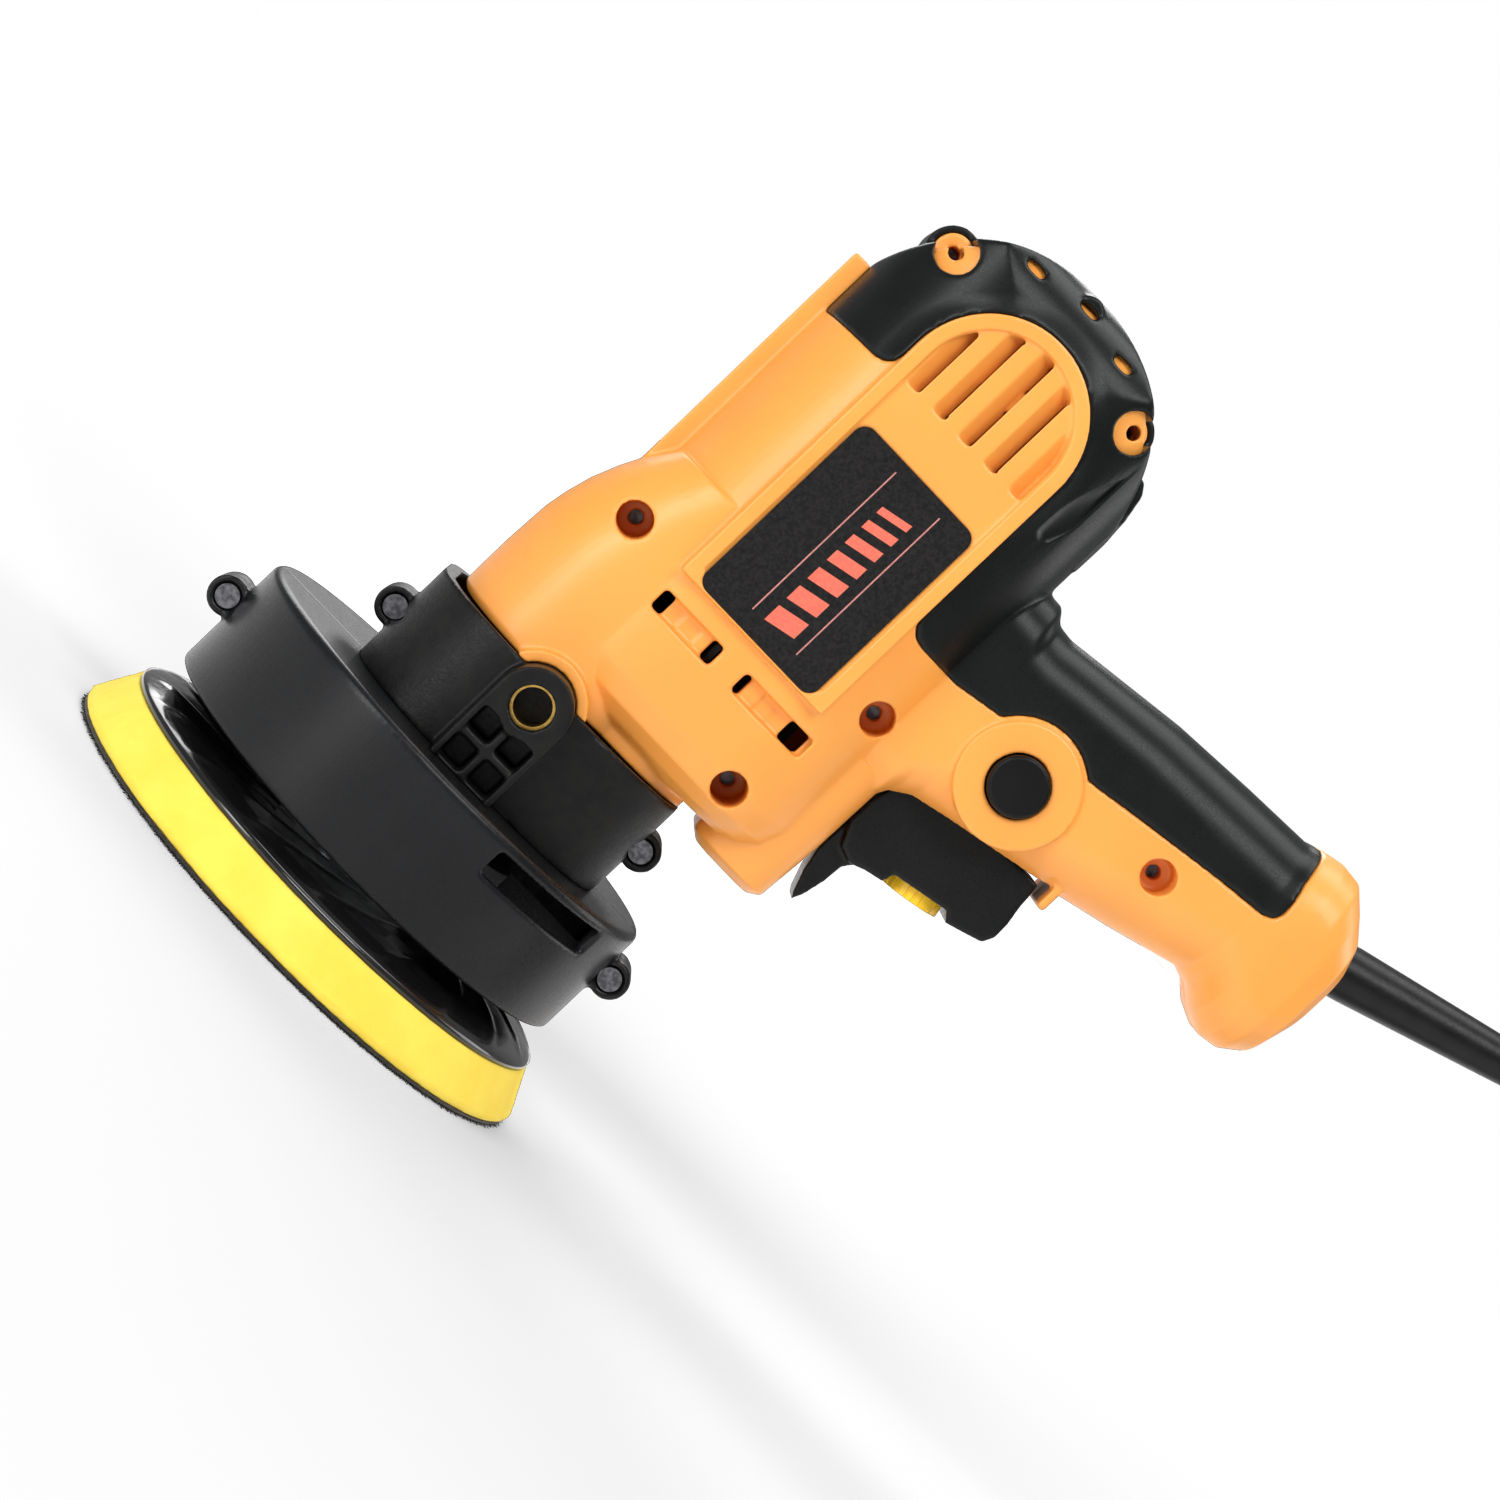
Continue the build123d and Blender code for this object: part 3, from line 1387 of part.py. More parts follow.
cord_points = [
    boot_plane.origin + boot_way * (boot_length - boot_socket),
    boot_plane.origin + boot_way * (boot_length + boot_socket),
    (243.5, 2.0, 168.0),
    (262.0, 5.0, 158.0),
    (275.5, 8.5, 140.0),
    (284.0, 11.0, 118.0),
    (289.0, 13.0, 95.0),
    (291.0, 14.0, 73.0),
    (291.4, 12.6, 54.0),
    (290.8, 7.6, 37.4),
    (289.0, -1.0, 24.6),
    (286.0, -12.0, 16.2),
    (281.0, -24.0, 12.0),
    (273.0, -35.5, 11.0),
]
tail_points = [
    (219.4, 19.6, 11.2),
    (226.6, 29.4, 12.8),
    (238.0, 36.4, 17.6),
    (251.0, 38.4, 22.8),
]
plug_way = Vector(0.96, -0.28, 0)


def cord_tube(points):
    """Tube of straight runs joined by arcs as large as the runs allow."""
    stops = [Vector(*p) if isinstance(p, tuple) else p for p in points]
    radii = []
    for before, here, after in zip(stops, stops[1:], stops[2:]):
        turn = (here - before).get_angle(after - here)
        run = min((here - before).length, (after - here).length)
        radii.append(0.45 * run / tan(radians(turn) / 2))
    print("cord arc radii", [round(r, 1) for r in radii])
    with BuildLine() as path:
        FilletPolyline(*stops, radius=radii)
    with BuildPart() as tube:
        with BuildSketch(Plane(origin=path.line @ 0, z_dir=path.line % 0)):
            Circle(cord_radius)
        sweep(path=path.line)
    length = sum(edge.length for edge in path.line.edges())
    print("tube length", round(length, 1), "volume ratio",
          round(tube.part.volume / (pi * cord_radius**2 * length), 4))
    return tube


power_cord = cord_tube(cord_points)
save(power_cord, "power_cord")
plug_tail = cord_tube(tail_points)
save(plug_tail, "plug_tail")

with BuildPart() as cord_coil:
    with Locations((coil_x, 0, 0)):
        Cylinder(coil_outer, coil_height, align=bottom)
        Cylinder(coil_inner, coil_height, align=bottom, mode=Mode.SUBTRACT)
    fillet(cord_coil.edges().filter_by(GeomType.CIRCLE), cord_radius)
save(cord_coil, "cord_coil")

plug_plane = Plane(origin=tail_points[-1], x_dir=(0.28, 0.96, 0), z_dir=plug_way)
with BuildPart() as plug_body:
    with BuildSketch(plug_plane):
        RectangleRounded(9, 9, 4)
    with BuildSketch(plug_plane.offset(0.4 * plug_length)):
        RectangleRounded(0.9 * plug_width, 0.9 * plug_height, 5)
    with BuildSketch(plug_plane.offset(plug_length)):
        RectangleRounded(plug_width, plug_height, 5)
    loft(ruled=True)
save(plug_body, "plug_body")

with BuildPart() as plug_pins:
    with BuildSketch(plug_plane.offset(plug_length)):
        with Locations((-8, 0), (8, 0)):
            Circle(pin_radius)
    extrude(amount=pin_length)
    fillet(plug_pins.faces().sort_by(Axis.X)[-2:].edges(), radius=1)
save(plug_pins, "plug_pins")
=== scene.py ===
"""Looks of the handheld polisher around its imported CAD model. Metres, in the CAD frame."""
import json
import math
import random

import bmesh
import bpy
import numpy as np
from mathutils import Matrix, Vector, noise


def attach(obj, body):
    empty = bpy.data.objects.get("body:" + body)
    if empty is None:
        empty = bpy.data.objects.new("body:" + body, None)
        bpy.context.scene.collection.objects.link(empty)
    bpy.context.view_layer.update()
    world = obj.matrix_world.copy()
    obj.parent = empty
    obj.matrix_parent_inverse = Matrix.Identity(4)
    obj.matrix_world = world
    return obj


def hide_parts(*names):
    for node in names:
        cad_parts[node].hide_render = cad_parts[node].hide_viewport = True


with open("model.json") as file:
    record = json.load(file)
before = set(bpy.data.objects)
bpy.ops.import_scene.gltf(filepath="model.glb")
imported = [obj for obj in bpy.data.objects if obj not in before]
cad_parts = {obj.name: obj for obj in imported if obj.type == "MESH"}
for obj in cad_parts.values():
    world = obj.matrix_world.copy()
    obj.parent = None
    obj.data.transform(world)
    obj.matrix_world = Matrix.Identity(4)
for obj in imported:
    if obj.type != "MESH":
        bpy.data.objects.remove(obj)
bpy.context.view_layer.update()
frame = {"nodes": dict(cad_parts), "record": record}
nodes = frame["nodes"]
scene = bpy.context.scene
MM = 0.001
GLOSS_SWING = 0.06
COAT_ROUGHNESS = 0.1


# ------------------------------------------------------------------ materials
def srgb(*rgb):
    """An 8-bit screen colour as linear light."""
    return tuple(
        (c / 255 / 12.92 if c <= 10.3 else ((c / 255 + 0.055) / 1.055) ** 2.4) for c in rgb
    ) + (1.0,)


def finish(name, colour, second=None, mottle=60.0, rough=0.4, grain=1400.0,
           grain_depth=0.02, coarse=0.0, coarse_depth=0.0, metal=0.0, coat=0.0,
           sheen=0.0, subsurface=0.0, specular=0.5):
    """Moulded or machined surface: two colours mixed by soft noise, grain in bump and gloss."""
    mat = bpy.data.materials.new(name)
    mat.use_nodes = True
    tree = mat.node_tree
    tree.nodes.clear()
    new, link = tree.nodes.new, tree.links.new
    out = new("ShaderNodeOutputMaterial")
    shader = new("ShaderNodeBsdfPrincipled")
    link(shader.outputs[0], out.inputs[0])
    where = new("ShaderNodeTexCoord").outputs["Object"]
    shader.inputs["Metallic"].default_value = metal
    shader.inputs["Coat Weight"].default_value = coat
    shader.inputs["Coat Roughness"].default_value = COAT_ROUGHNESS
    shader.inputs["Sheen Weight"].default_value = sheen
    shader.inputs["Specular IOR Level"].default_value = specular
    if subsurface:
        shader.inputs["Subsurface Weight"].default_value = subsurface
        shader.inputs["Subsurface Radius"].default_value = (1.0, 0.55, 0.2)
        shader.inputs["Subsurface Scale"].default_value = 0.0015

    def noise(scale, detail=2.0):
        node = new("ShaderNodeTexNoise")
        node.inputs["Scale"].default_value = scale
        node.inputs["Detail"].default_value = detail
        link(where, node.inputs["Vector"])
        return node.outputs["Fac"]

    def spread(source, low, high, start=0.35, stop=0.65):
        node = new("ShaderNodeMapRange")
        node.inputs["From Min"].default_value = start
        node.inputs["From Max"].default_value = stop
        node.inputs["To Min"].default_value = low
        node.inputs["To Max"].default_value = high
        link(source, node.inputs["Value"])
        return node.outputs["Result"]

    blend = new("ShaderNodeMix")
    blend.data_type = "RGBA"
    blend.inputs["A"].default_value = colour
    blend.inputs["B"].default_value = second or colour
    link(spread(noise(mottle), 0.0, 1.0), blend.inputs["Factor"])
    link(blend.outputs["Result"], shader.inputs["Base Color"])
    fine = noise(grain, 3.0)
    link(spread(fine, rough - GLOSS_SWING, rough + GLOSS_SWING), shader.inputs["Roughness"])
    bump = new("ShaderNodeBump")
    bump.inputs["Strength"].default_value = 1.0
    bump.inputs["Distance"].default_value = grain_depth * MM
    link(fine, bump.inputs["Height"])
    if coarse:
        wide = new("ShaderNodeBump")
        wide.inputs["Distance"].default_value = coarse_depth * MM
        link(noise(coarse, 1.0), wide.inputs["Height"])
        link(wide.outputs[0], bump.inputs["Normal"])
    link(bump.outputs[0], shader.inputs["Normal"])
    return mat


looks = {
    "body_orange": finish("body_orange", srgb(247, 166, 76), srgb(243, 159, 70), mottle=25,
                          rough=0.36, grain=2600, grain_depth=0.012, subsurface=0.12),
    "soft_black": finish("soft_black", srgb(14, 17, 17), srgb(19, 21, 21), mottle=80, rough=0.33,
                         grain=3200, grain_depth=0.012, specular=0.2),
    "drum_black": finish("drum_black", srgb(17, 18, 20), srgb(22, 23, 25), mottle=70, rough=0.32,
                         grain=2400, grain_depth=0.01, specular=0.24),
    "neck_black": finish("neck_black", srgb(15, 15, 15), srgb(22, 22, 21), mottle=300, rough=0.42,
                         grain=1500, grain_depth=0.07, specular=0.2),
    "label_black": finish("label_black", srgb(12, 11, 11), srgb(30, 28, 28), mottle=1500,
                          rough=0.42, grain=1400, grain_depth=0.12, specular=0.22),
    "foam_yellow": finish("foam_yellow", srgb(250, 222, 86), srgb(245, 213, 74), mottle=90,
                          rough=0.85, grain=1700, grain_depth=0.12, coarse=260, coarse_depth=0.25,
                          subsurface=0.2),
    "hook_black": finish("hook_black", srgb(18, 17, 16), srgb(44, 40, 36), mottle=900, rough=0.9,
                         grain=2200, grain_depth=0.2, sheen=0.3),
    "plate_black": finish("plate_black", srgb(14, 14, 15), srgb(20, 20, 21), mottle=60,
                          rough=0.16, grain=500, grain_depth=0.01, coat=0.3),
    "dial_yellow": finish("dial_yellow", srgb(252, 205, 40), srgb(246, 196, 34), mottle=120,
                          rough=0.35, grain=2200, grain_depth=0.01),
    "trigger_black": finish("trigger_black", srgb(13, 14, 14), srgb(18, 19, 19), mottle=90,
                            rough=0.32, grain=2300, grain_depth=0.01, specular=0.22),
    "button_black": finish("button_black", srgb(10, 10, 11), srgb(16, 16, 17), mottle=90,
                           rough=0.38, grain=2000, grain_depth=0.012, specular=0.2),
    "steel": finish("steel", srgb(176, 178, 182), srgb(150, 152, 156), mottle=500, rough=0.28,
                    grain=1800, grain_depth=0.004, metal=1.0),
    "screw_steel": finish("screw_steel", srgb(120, 120, 124), srgb(80, 80, 84), mottle=900,
                          rough=0.34, grain=2500, grain_depth=0.004, metal=1.0),
    "brass": finish("brass", srgb(214, 176, 96), srgb(190, 150, 76), mottle=700, rough=0.3,
                    grain=2500, grain_depth=0.004, metal=1.0),
    "cast_aluminium": finish("cast_aluminium", srgb(178, 180, 182), srgb(160, 162, 166),
                             mottle=500, rough=0.5, grain=1400, grain_depth=0.05, metal=1.0),
    "weight_iron": finish("weight_iron", srgb(70, 68, 68), srgb(48, 46, 46), mottle=500,
                          rough=0.55, grain=1500, grain_depth=0.05, metal=1.0),
    "laminations": finish("laminations", srgb(120, 122, 126), srgb(90, 92, 96), mottle=900,
                          rough=0.45, grain=2600, grain_depth=0.02, metal=1.0),
    "copper": finish("copper", srgb(196, 106, 60), srgb(150, 74, 40), mottle=1200, rough=0.3,
                     grain=2400, grain_depth=0.05, metal=1.0),
    "carbon": finish("carbon", srgb(40, 40, 42), srgb(26, 26, 28), mottle=1500, rough=0.6,
                     grain=2500, grain_depth=0.02),
    # Painted shade: this dark red-brown stands in for the shaded orange plastic seen deep inside the
    # exhaust slots.
    "fan_plastic": finish("fan_plastic", srgb(60, 44, 38), srgb(50, 36, 30), mottle=200,
                          rough=0.4, grain=2000, grain_depth=0.01),
    "switch_plastic": finish("switch_plastic", srgb(44, 44, 48), srgb(36, 36, 40), mottle=200,
                             rough=0.4, grain=2000, grain_depth=0.01),
    "cord_black": finish("cord_black", srgb(13, 13, 14), srgb(20, 20, 21), mottle=200, rough=0.36,
                         grain=1900, grain_depth=0.02, specular=0.24),
}

looks["stripe_salmon"] = finish("stripe_salmon", srgb(232, 112, 88), srgb(222, 100, 80), mottle=1500,
                                rough=0.5, grain=1800, grain_depth=0.03)
looks["stripe_pink"] = finish("stripe_pink", srgb(196, 130, 124), srgb(176, 112, 108), mottle=1500,
                              rough=0.5, grain=1800, grain_depth=0.03)
for part in frame["record"]["subparts"]:
    shown = nodes[part["node"]].data
    shown.materials.clear()
    shown.materials.append(looks[part["material_slot"]])


# ------------------------------------------------------------------ mesh helpers
def add_object(name, mesh, look, body):
    """A new piece with its finish, riding on a CAD body."""
    piece = bpy.data.objects.new(name, mesh)
    scene.collection.objects.link(piece)
    mesh.materials.clear()
    mesh.materials.append(looks[look])
    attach(piece, body)
    return piece


def evaluated_mesh(source, name):
    """A plain mesh of an object with its modifiers or curve settings applied."""
    graph = bpy.context.evaluated_depsgraph_get()
    graph.update()
    mesh = bpy.data.meshes.new_from_object(source.evaluated_get(graph))
    mesh.name = name
    return mesh


def spline_curve(name, points, bevel):
    """One open NURBS spline through space, smooth, with its ends on the first and last point."""
    curve = bpy.data.curves.new(name, "CURVE")
    curve.dimensions = "3D"
    curve.resolution_u = 8
    curve.bevel_depth = bevel
    curve.bevel_resolution = 5
    curve.use_fill_caps = True
    spline = curve.splines.new("NURBS")
    spline.points.add(len(points) - 1)
    for knot, place in zip(spline.points, points):
        knot.co = (*place, 1.0)
    spline.order_u = 3
    spline.use_endpoint_u = True
    return curve


# ------------------------------------------------------------------ power cord
cord_diameter = 7.0
boot_start = Vector((160.8, 0.0, 149.4))
boot_way = Vector((math.cos(math.radians(17)), 0.0, math.sin(math.radians(17))))
drop_points = [
    boot_start + boot_way * 36,
    boot_start + boot_way * 60,
    (243.5, 2.0, 168.0),
    (262.0, 5.0, 158.0),
    (275.5, 8.5, 140.0),
    (284.0, 11.0, 118.0),
    (289.0, 13.0, 95.0),
    (291.0, 14.0, 73.0),
    (291.4, 12.6, 54.0),
    (290.8, 7.6, 38.4),
    (289.0, -1.0, 28.6),
    (287.0, -12.0, 22.4),
    (283.0, -24.0, 18.4),
]
tail_points = [
    (227.2, 28.6, 14.2),
    (238.0, 36.4, 17.6),
    (251.0, 38.4, 22.8),
]
coil_centre = (250.0, 0.0)
coil_low = 3.6
coil_high = 10.7
turn_points = 14


def coil_points(stations, entry):
    """Points of a round coil laid clockwise from above, lane by lane, from its entry angle."""
    wound = stations[-1][0]
    count = round(wound / 360 * turn_points)
    swell = 1 / math.cos(math.pi / turn_points)
    points = []
    for step in range(count + 1):
        angle = wound * step / count
        after = next(i for i in range(1, len(stations)) if angle <= stations[i][0] + 1e-6)
        (a0, r0, z0), (a1, r1, z1) = stations[after - 1], stations[after]
        share = (angle - a0) / (a1 - a0)
        ease = share * share * (3 - 2 * share)
        radius = (r0 + (r1 - r0) * ease) * swell
        way = math.radians(entry - angle)
        points.append((
            coil_centre[0] + radius * math.cos(way),
            coil_centre[1] + radius * math.sin(way),
            z0 + (z1 - z0) * ease,
        ))
    return points


coil_stations = [
    # degrees wound, radius, height
    (0.0, 43.2, 14.5),
    (50.0, 43.8, coil_high),
    (290.0, 43.8, coil_high),
    (370.0, 43.8, coil_low),
    (620.0, 43.8, coil_low),
    (710.0, 36.6, coil_low),
    (980.0, 36.6, coil_low),
    (1070.0, 29.4, coil_low),
    (1290.0, 29.4, coil_low),
    (1380.0, 29.4, coil_high),
    (1600.0, 29.4, coil_high),
    (1690.0, 36.6, coil_high),
    (1953.0, 36.4, 11.2),
]
coil_entry = -57.0

route = [tuple(p) for p in drop_points] + coil_points(coil_stations, coil_entry) + tail_points
route = [tuple(v * MM for v in p) for p in route]
cord_curve = spline_curve("power_lead", route, cord_diameter / 2 * MM)
power_lead = bpy.data.objects.new("power_lead", cord_curve)
scene.collection.objects.link(power_lead)
cord_curve.materials.append(looks["cord_black"])
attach(power_lead, "housing")
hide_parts("power_cord", "plug_tail", "cord_coil")


# ------------------------------------------------------------------ moulded shells
def polyline_distance(points, line):
    """Distance in the XZ plane from each point to a polyline, and how far along it lies."""
    flat = points[:, (0, 2)]
    best = np.full(len(flat), 1e9)
    share = np.zeros(len(flat))
    for index, (a, b) in enumerate(zip(line, line[1:])):
        a, b = np.array(a), np.array(b)
        run = b - a
        t = np.clip(((flat - a) @ run) / (run @ run), 0, 1)
        d = np.linalg.norm(flat - (a + t[:, None] * run), axis=1)
        closer = d < best
        best[closer] = d[closer]
        share[closer] = (index + t[closer]) / (len(line) - 1)
    return best, share


def positions(mesh):
    """The mesh's points in millimetres."""
    flat = np.empty(len(mesh.vertices) * 3, np.float32)
    mesh.vertices.foreach_get("co", flat)
    return flat.reshape(-1, 3).astype(float) / MM


def place(mesh, points):
    """Write points in millimetres back to the mesh."""
    mesh.vertices.foreach_set("co", (points * MM).astype(np.float32).ravel())
    mesh.update()


def soften(node, look, voxel, rounds, body="housing", shape=None, keep=0.4):
    """A moulded stand-in for a CAD shell: the same form with its edges and facets eased."""
    copy = nodes[node].data.copy()
    form = bmesh.new()
    form.from_mesh(copy)
    bmesh.ops.remove_doubles(form, verts=form.verts, dist=0.002 * MM)
    form.to_mesh(copy)
    form.free()
    helper = bpy.data.objects.new(node + "_source", copy)
    scene.collection.objects.link(helper)
    remesh = helper.modifiers.new("remesh", "REMESH")
    remesh.mode = "VOXEL"
    remesh.voxel_size = voxel * MM
    ease = helper.modifiers.new("ease", "SMOOTH")
    ease.factor = 0.5
    ease.iterations = rounds
    mesh = evaluated_mesh(helper, node + "_moulded")
    bpy.data.objects.remove(helper)
    if shape:
        points = positions(mesh)
        shape(points)
        place(mesh, points)
    piece = add_object(node + "_moulded", mesh, look, body)
    thin = piece.modifiers.new("thin", "DECIMATE")
    thin.ratio = keep
    slim = evaluated_mesh(piece, node + "_moulded_mesh")
    piece.modifiers.clear()
    piece.data = slim
    slim.materials.clear()
    slim.materials.append(looks[look])
    slim.polygons.foreach_set("use_smooth", [True] * len(slim.polygons))
    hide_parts(node)
    return piece


motor_x = 23.5
arch_radius = 20.3
arch_centre_z = 174.0
cove_width = 4.5
cove_rise = 1.3
cove_start_z = 160.0
cover_side_y = 24.0
scoop_width = 1.9
scoop_line = [(49.2, 166.5), (50.2, 172.0), (51.6, 178.0), (53.6, 184.6)]


def cover_shape(points):
    """A cove rising to the side panel's arch, and a scooped thumb mark behind it."""
    side = np.sign(points[:, 1])
    outer = np.abs(points[:, 1]) > cover_side_y
    away = np.where(
        points[:, 2] > arch_centre_z,
        np.hypot(points[:, 0] - motor_x, points[:, 2] - arch_centre_z),
        np.abs(points[:, 0] - motor_x),
    ) - arch_radius
    cove = np.clip(1 - away / cove_width, 0, 1) ** 2 * cove_rise
    cove *= np.clip((points[:, 2] - cove_start_z) / 8, 0, 1)
    points[:, 1] += side * cove * outer
    distance, share = polyline_distance(points, scoop_line)
    width = scoop_width + 0.9 * np.sin(np.pi * np.clip(share, 0, 1))
    depth = np.clip(1 - (distance / width) ** 2, 0, 1) ** 0.75
    points[:, 1] -= side * depth * outer


soften("left_housing", "body_orange", 0.45, 3)
soften("right_housing", "body_orange", 0.45, 3)
soften("left_grip_cover", "soft_black", 0.5, 12, shape=cover_shape)
soften("right_grip_cover", "soft_black", 0.5, 12, shape=cover_shape)
soften("left_gear_neck", "neck_black", 0.5, 3)
soften("right_gear_neck", "neck_black", 0.5, 3)
soften("left_drum", "drum_black", 0.55, 4)
soften("right_drum", "drum_black", 0.55, 4)
soften("trigger", "trigger_black", 0.4, 5, body="trigger")


# ------------------------------------------------------------------ label stripes
def plate_mesh(name, outlines, face, side):
    """Thin printed shapes lying on a side panel: outlines in x, z, just proud of the face."""
    form = bmesh.new()
    lift = 0.07
    for outline in outlines:
        low = [form.verts.new(Vector((x, side * face, z)) * MM) for x, z in outline]
        high = [form.verts.new(Vector((x, side * (face + lift), z)) * MM) for x, z in outline]
        form.faces.new(low)
        form.faces.new(high[::-1])
        for i in range(len(outline)):
            j = (i + 1) % len(outline)
            form.faces.new((low[i], high[i], high[j], low[j]))
    bmesh.ops.recalc_face_normals(form, faces=form.faces)
    mesh = bpy.data.meshes.new(name)
    form.to_mesh(mesh)
    form.free()
    return mesh


label_face = 32.4
stripe_low, stripe_high = 113.3, 152.9
pin_half_width = 0.16
bar_left, bar_right = 22.0, 29.0
bar_slant = 1.6
bar_trim = 1.3
bar_gap = 0.75
pinstripes = [
    [
        (x - pin_half_width, stripe_low),
        (x + pin_half_width, stripe_low),
        (x + pin_half_width, stripe_high),
        (x - pin_half_width, stripe_high),
    ]
    for x in (18.9, 31.6)
]
bars = []
bar_heights = (5.4, 5.0, 4.6, 4.2, 3.8, 3.4, 3.0)
bar_low = stripe_low + 0.3
for height in bar_heights:
    bars.append([
        (bar_left, bar_low),
        (bar_right, bar_low + bar_slant),
        (bar_right, bar_low + bar_slant + height - bar_trim),
        (bar_left, bar_low + height - bar_trim),
    ])
    bar_low += height + bar_gap
for side, name in ((-1, "left"), (1, "right")):
    add_object(name + "_label_pinstripes", plate_mesh(name + "_pins", pinstripes, label_face, side),
               "stripe_pink", "housing")
    add_object(name + "_label_bars", plate_mesh(name + "_bars", bars, label_face, side),
               "stripe_salmon", "housing")


# ------------------------------------------------------------------ polishing pad
pad_centre_y = -4.0


def lathe(name, profile, segments, warp=None):
    """Closed turned form about the pad's axis from an open profile of (radius, height)."""
    form = bmesh.new()
    rings = []
    for radius, height in profile:
        ring = []
        for step in range(segments):
            angle = 2 * math.pi * step / segments
            r, z = (radius, height) if warp is None else warp(radius, height, angle)
            ring.append(form.verts.new(Vector((
                r * math.cos(angle), pad_centre_y + r * math.sin(angle), z)) * MM))
        rings.append(ring)
    for low, high in zip(rings, rings[1:]):
        for i in range(segments):
            j = (i + 1) % segments
            form.faces.new((low[i], low[j], high[j], high[i]))
    form.faces.new(rings[0][::-1])
    form.faces.new(rings[-1])
    bmesh.ops.recalc_face_normals(form, faces=form.faces)
    mesh = bpy.data.meshes.new(name)
    form.to_mesh(mesh)
    form.free()
    for face in mesh.polygons:
        face.use_smooth = len(face.vertices) == 4
    return mesh


def resample(corners, step):
    """Points along a polyline about one step apart."""
    points = [corners[0]]
    for a, b in zip(corners, corners[1:]):
        count = max(1, round(math.dist(a, b) / step))
        points += [
            (a[0] + (b[0] - a[0]) * i / count, a[1] + (b[1] - a[1]) * i / count)
            for i in range(1, count + 1)
        ]
    return points


def foam_warp(radius, height, angle):
    """Open pores and a slow wave in the cut side of the foam."""
    if radius < 50:
        return radius, height
    spot = Vector((math.cos(angle) * radius, math.sin(angle) * radius, height))
    pores = noise.noise(spot * 1.1) * 0.16 + noise.noise(spot * 0.4) * 0.12
    wave = noise.noise(spot * 0.05) * 0.25
    return radius - 0.35 + pores + wave, height


foam_profile = resample(
    [(0.5, 1.25), (61.6, 1.25), (62.15, 1.7), (62.5, 2.8), (57.9, 11.5), (57.3, 11.98), (0.5, 11.98)],
    0.75,
)
foam_profile = [p for i, p in enumerate(foam_profile) if p[0] > 55 or i % 8 == 0]
foam = add_object("foam_ring", lathe("foam_ring", foam_profile, 420, foam_warp), "foam_yellow", "pad")
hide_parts("foam_pad")


def hook_warp(radius, height, angle):
    """The cut edge of the hook tape is slightly uneven."""
    if radius < 59:
        return radius, height
    spot = Vector((math.cos(angle) * 40, math.sin(angle) * 40, height))
    return radius + noise.noise(spot) * 0.25 + noise.noise(spot * 3) * 0.12, height


hook_count = 2600


def hook_mesh(name):
    """Hook tape: a thin backing and a ragged fringe of bent hooks round its edge."""
    base = lathe(name + "_base", [(0.5, 0.45), (61.2, 0.45), (61.7, 0.8), (61.4, 1.18), (0.5, 1.18)],
                 300, hook_warp)
    form = bmesh.new()
    form.from_mesh(base)
    dice = random.Random(7)
    for _ in range(hook_count):
        angle = dice.uniform(0, 2 * math.pi)
        radius = dice.uniform(59.5, 61.8)
        lean = dice.uniform(0.2, 0.9)
        drop = dice.uniform(0.25, 0.85)
        twist = dice.uniform(-0.012, 0.012)
        path = []
        for step in range(4):
            t = step / 3
            r = min(radius + lean * t, 62.4)
            z = max(0.75 - drop * math.sin(t * 1.9), 0.02)
            a = angle + twist * t
            path.append(Vector((r * math.cos(a), pad_centre_y + r * math.sin(a), z)) * MM)
        thick = dice.uniform(0.05, 0.09) * MM
        across = Vector((-math.sin(angle), math.cos(angle), 0)) * thick
        rise = Vector((0, 0, thick))
        rings = [[form.verts.new(p + across), form.verts.new(p - across + rise * 0.3),
                  form.verts.new(p + rise)] for p in path]
        for low, high in zip(rings, rings[1:]):
            for i in range(3):
                j = (i + 1) % 3
                form.faces.new((low[i], low[j], high[j], high[i]))
        form.faces.new(rings[0][::-1])
        form.faces.new(rings[-1])
    bmesh.ops.recalc_face_normals(form, faces=form.faces)
    mesh = bpy.data.meshes.new(name)
    form.to_mesh(mesh)
    form.free()
    return mesh


hooks = add_object("hook_tape", hook_mesh("hook_tape"), "hook_black", "pad")
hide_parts("hook_face")


def plate_warp(radius, height, angle):
    """Swept ridges moulded in the top of the backing plate."""
    if height < 13.5 or not 30 < radius < 56:
        return radius, height
    sweep = math.sin(18 * (angle + 1.1 * math.log(radius / 30)))
    edge = min(1.0, (radius - 30) / 3, (56 - radius) / 3)
    return radius, height + 0.35 * edge * max(0.0, sweep) ** 6


plate_profile = resample(
    [(4.2, 12.0), (57.1, 12.0), (57.1, 13.2), (55.6, 14.1), (51.0, 15.6), (46.1, 16.3), (38.0, 16.85),
     (28.8, 17.15), (4.2, 17.15)],
    0.9,
)
plate = add_object("backing_plate_moulded", lathe("backing_plate_moulded", plate_profile, 540, plate_warp),
                   "plate_black", "pad")
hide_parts("backing_plate")


# ------------------------------------------------------------------ camera, lights, stage
eye = Vector((-22.7, -750.0, 130.6)) * MM
aim = Vector((41.9, 0.0, 91.7)) * MM
picture_up = Vector((-0.7246, 0.0, 0.6892))
camera_data = bpy.data.cameras.new("camera")
camera = bpy.data.objects.new("camera", camera_data)
scene.collection.objects.link(camera)
back = (eye - aim).normalized()
right = picture_up.cross(back).normalized()
up = back.cross(right)
camera.matrix_world = Matrix((
    (right.x, up.x, back.x, eye.x),
    (right.y, up.y, back.y, eye.y),
    (right.z, up.z, back.z, eye.z),
    (0, 0, 0, 1),
))
camera_data.sensor_width = 36.0
camera_data.lens = 86.1
camera_data.clip_start = 0.05
camera_data.clip_end = 50.0
scene.camera = camera

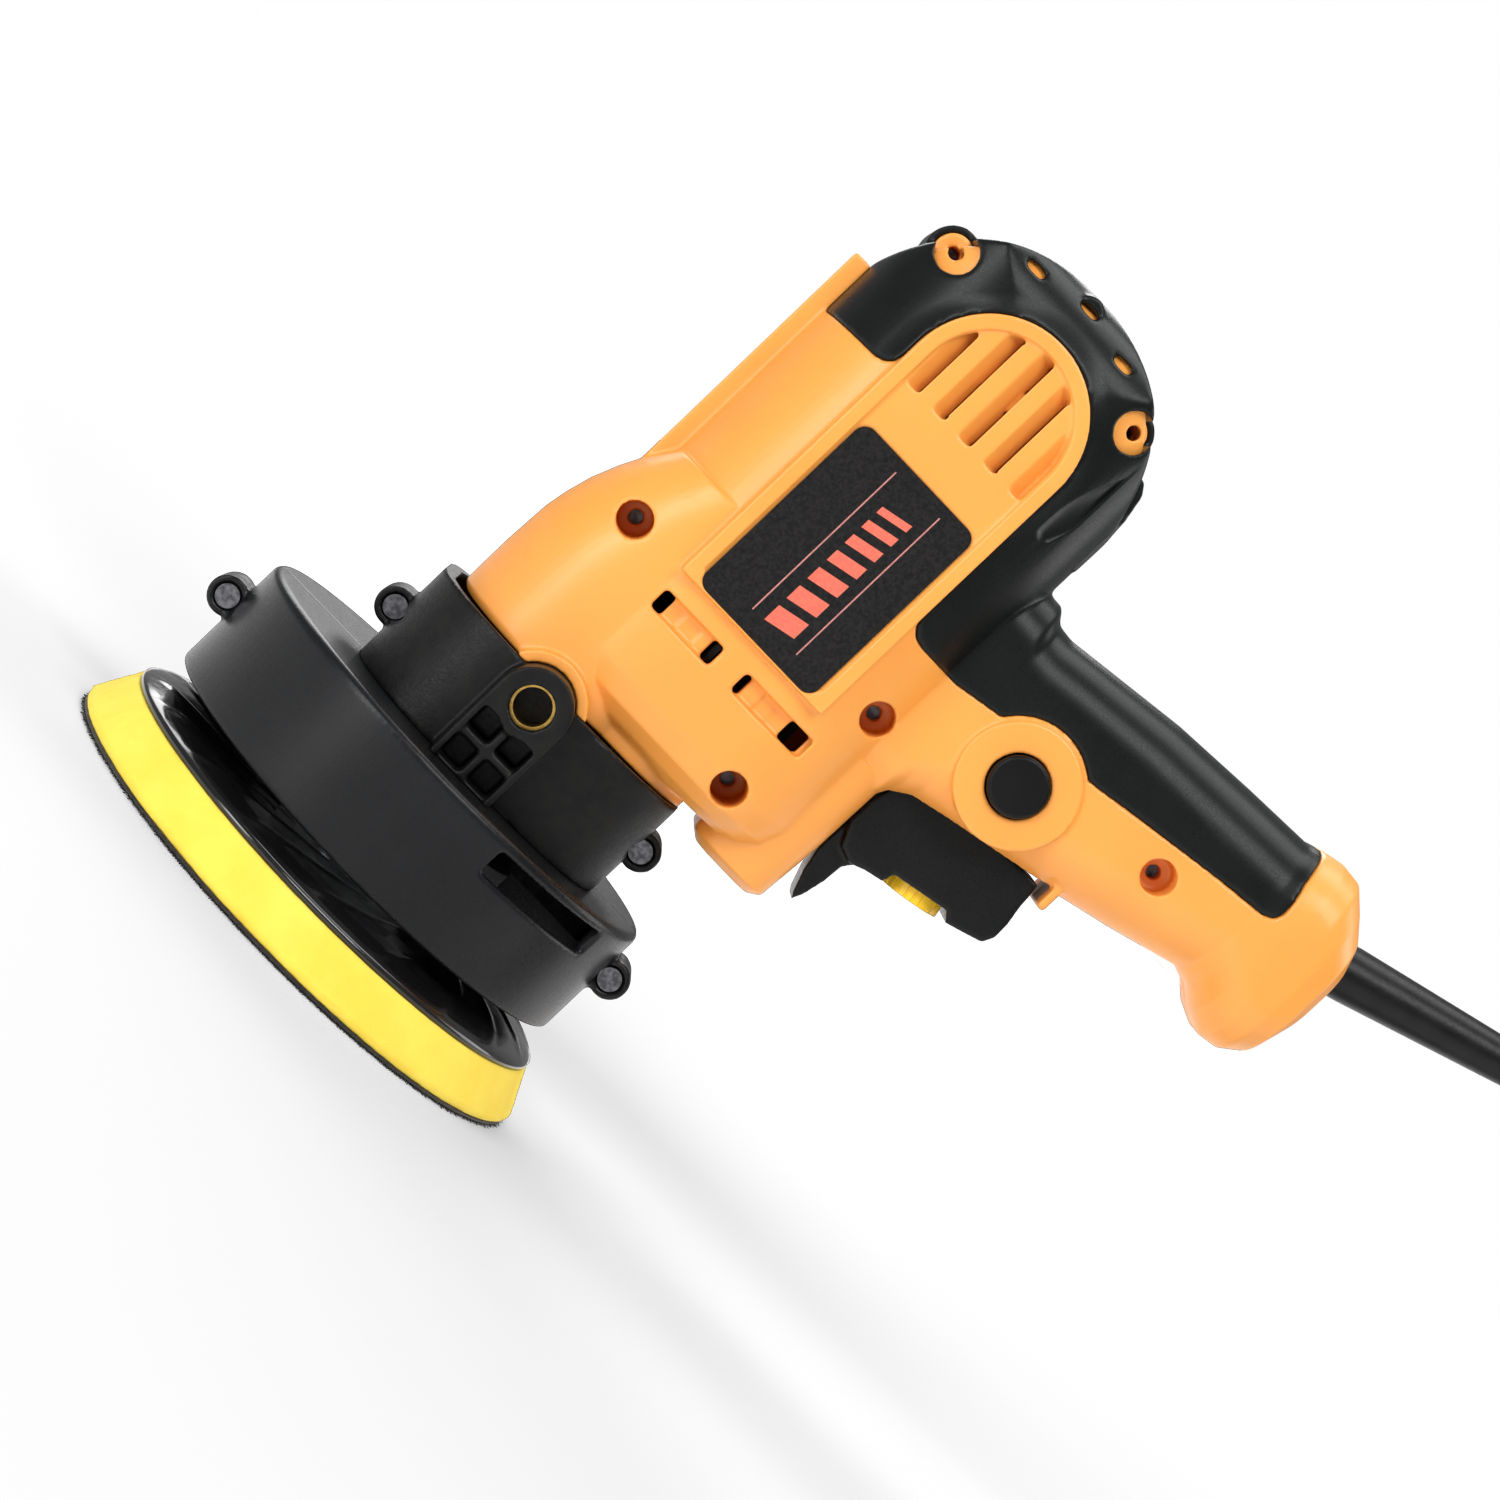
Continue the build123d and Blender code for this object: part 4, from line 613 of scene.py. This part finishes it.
world = bpy.data.worlds.new("studio")
world.use_nodes = True
sky = world.node_tree
room_light = sky.nodes["Background"]
room_light.inputs["Color"].default_value = (1, 1, 1, 1)
room_light.inputs["Strength"].default_value = 0.26
paper = sky.nodes.new("ShaderNodeBackground")
paper.inputs["Color"].default_value = (1, 1, 1, 1)
paper.inputs["Strength"].default_value = 1.0
seen = sky.nodes.new("ShaderNodeLightPath")
choice = sky.nodes.new("ShaderNodeMixShader")
sky.links.new(seen.outputs["Is Camera Ray"], choice.inputs[0])
sky.links.new(room_light.outputs[0], choice.inputs[1])
sky.links.new(paper.outputs[0], choice.inputs[2])
sky.links.new(choice.outputs[0], sky.nodes["World Output"].inputs["Surface"])
scene.world = world
scene.view_settings.view_transform = "Standard"


def lamp(name, place, target, size, power, colour=(1, 1, 1)):
    """Soft rectangular light aimed at a point."""
    data = bpy.data.lights.new(name, "AREA")
    data.shape = "RECTANGLE"
    data.size, data.size_y = size
    data.energy = power
    data.color = colour
    light = bpy.data.objects.new(name, data)
    scene.collection.objects.link(light)
    light.location = place
    light.rotation_euler = (Vector(target) - Vector(place)).to_track_quat("-Z", "Y").to_euler()
    return light


middle = (0.04, 0.0, 0.1)
lamp("key", (-0.85, -0.85, 0.35), middle, (0.35, 0.8), 7)
lamp("front", (0.15, -0.9, 0.95), middle, (0.8, 0.5), 9)
lamp("top", (0.1, 0.15, 1.2), middle, (0.8, 0.6), 6)
lamp("rear", (-0.3, 1.0, 0.7), middle, (0.9, 0.6), 7)
lamp("side", (1.1, 0.3, 0.5), middle, (0.5, 0.8), 4)

floor_mesh = bpy.data.meshes.new("floor")
floor_form = bmesh.new()
bmesh.ops.create_grid(floor_form, x_segments=2, y_segments=2, size=12)
floor_form.to_mesh(floor_mesh)
floor_form.free()
floor = bpy.data.objects.new("floor", floor_mesh)
scene.collection.objects.link(floor)
floor_look = bpy.data.materials.new("floor")
floor_look.use_nodes = True
floor_shader = floor_look.node_tree.nodes["Principled BSDF"]
floor_shader.inputs["Base Color"].default_value = (0.93, 0.93, 0.93, 1)
floor_shader.inputs["Roughness"].default_value = 0.9
floor_shader.inputs["Specular IOR Level"].default_value = 0.1
floor_mesh.materials.append(floor_look)
floor.is_shadow_catcher = True
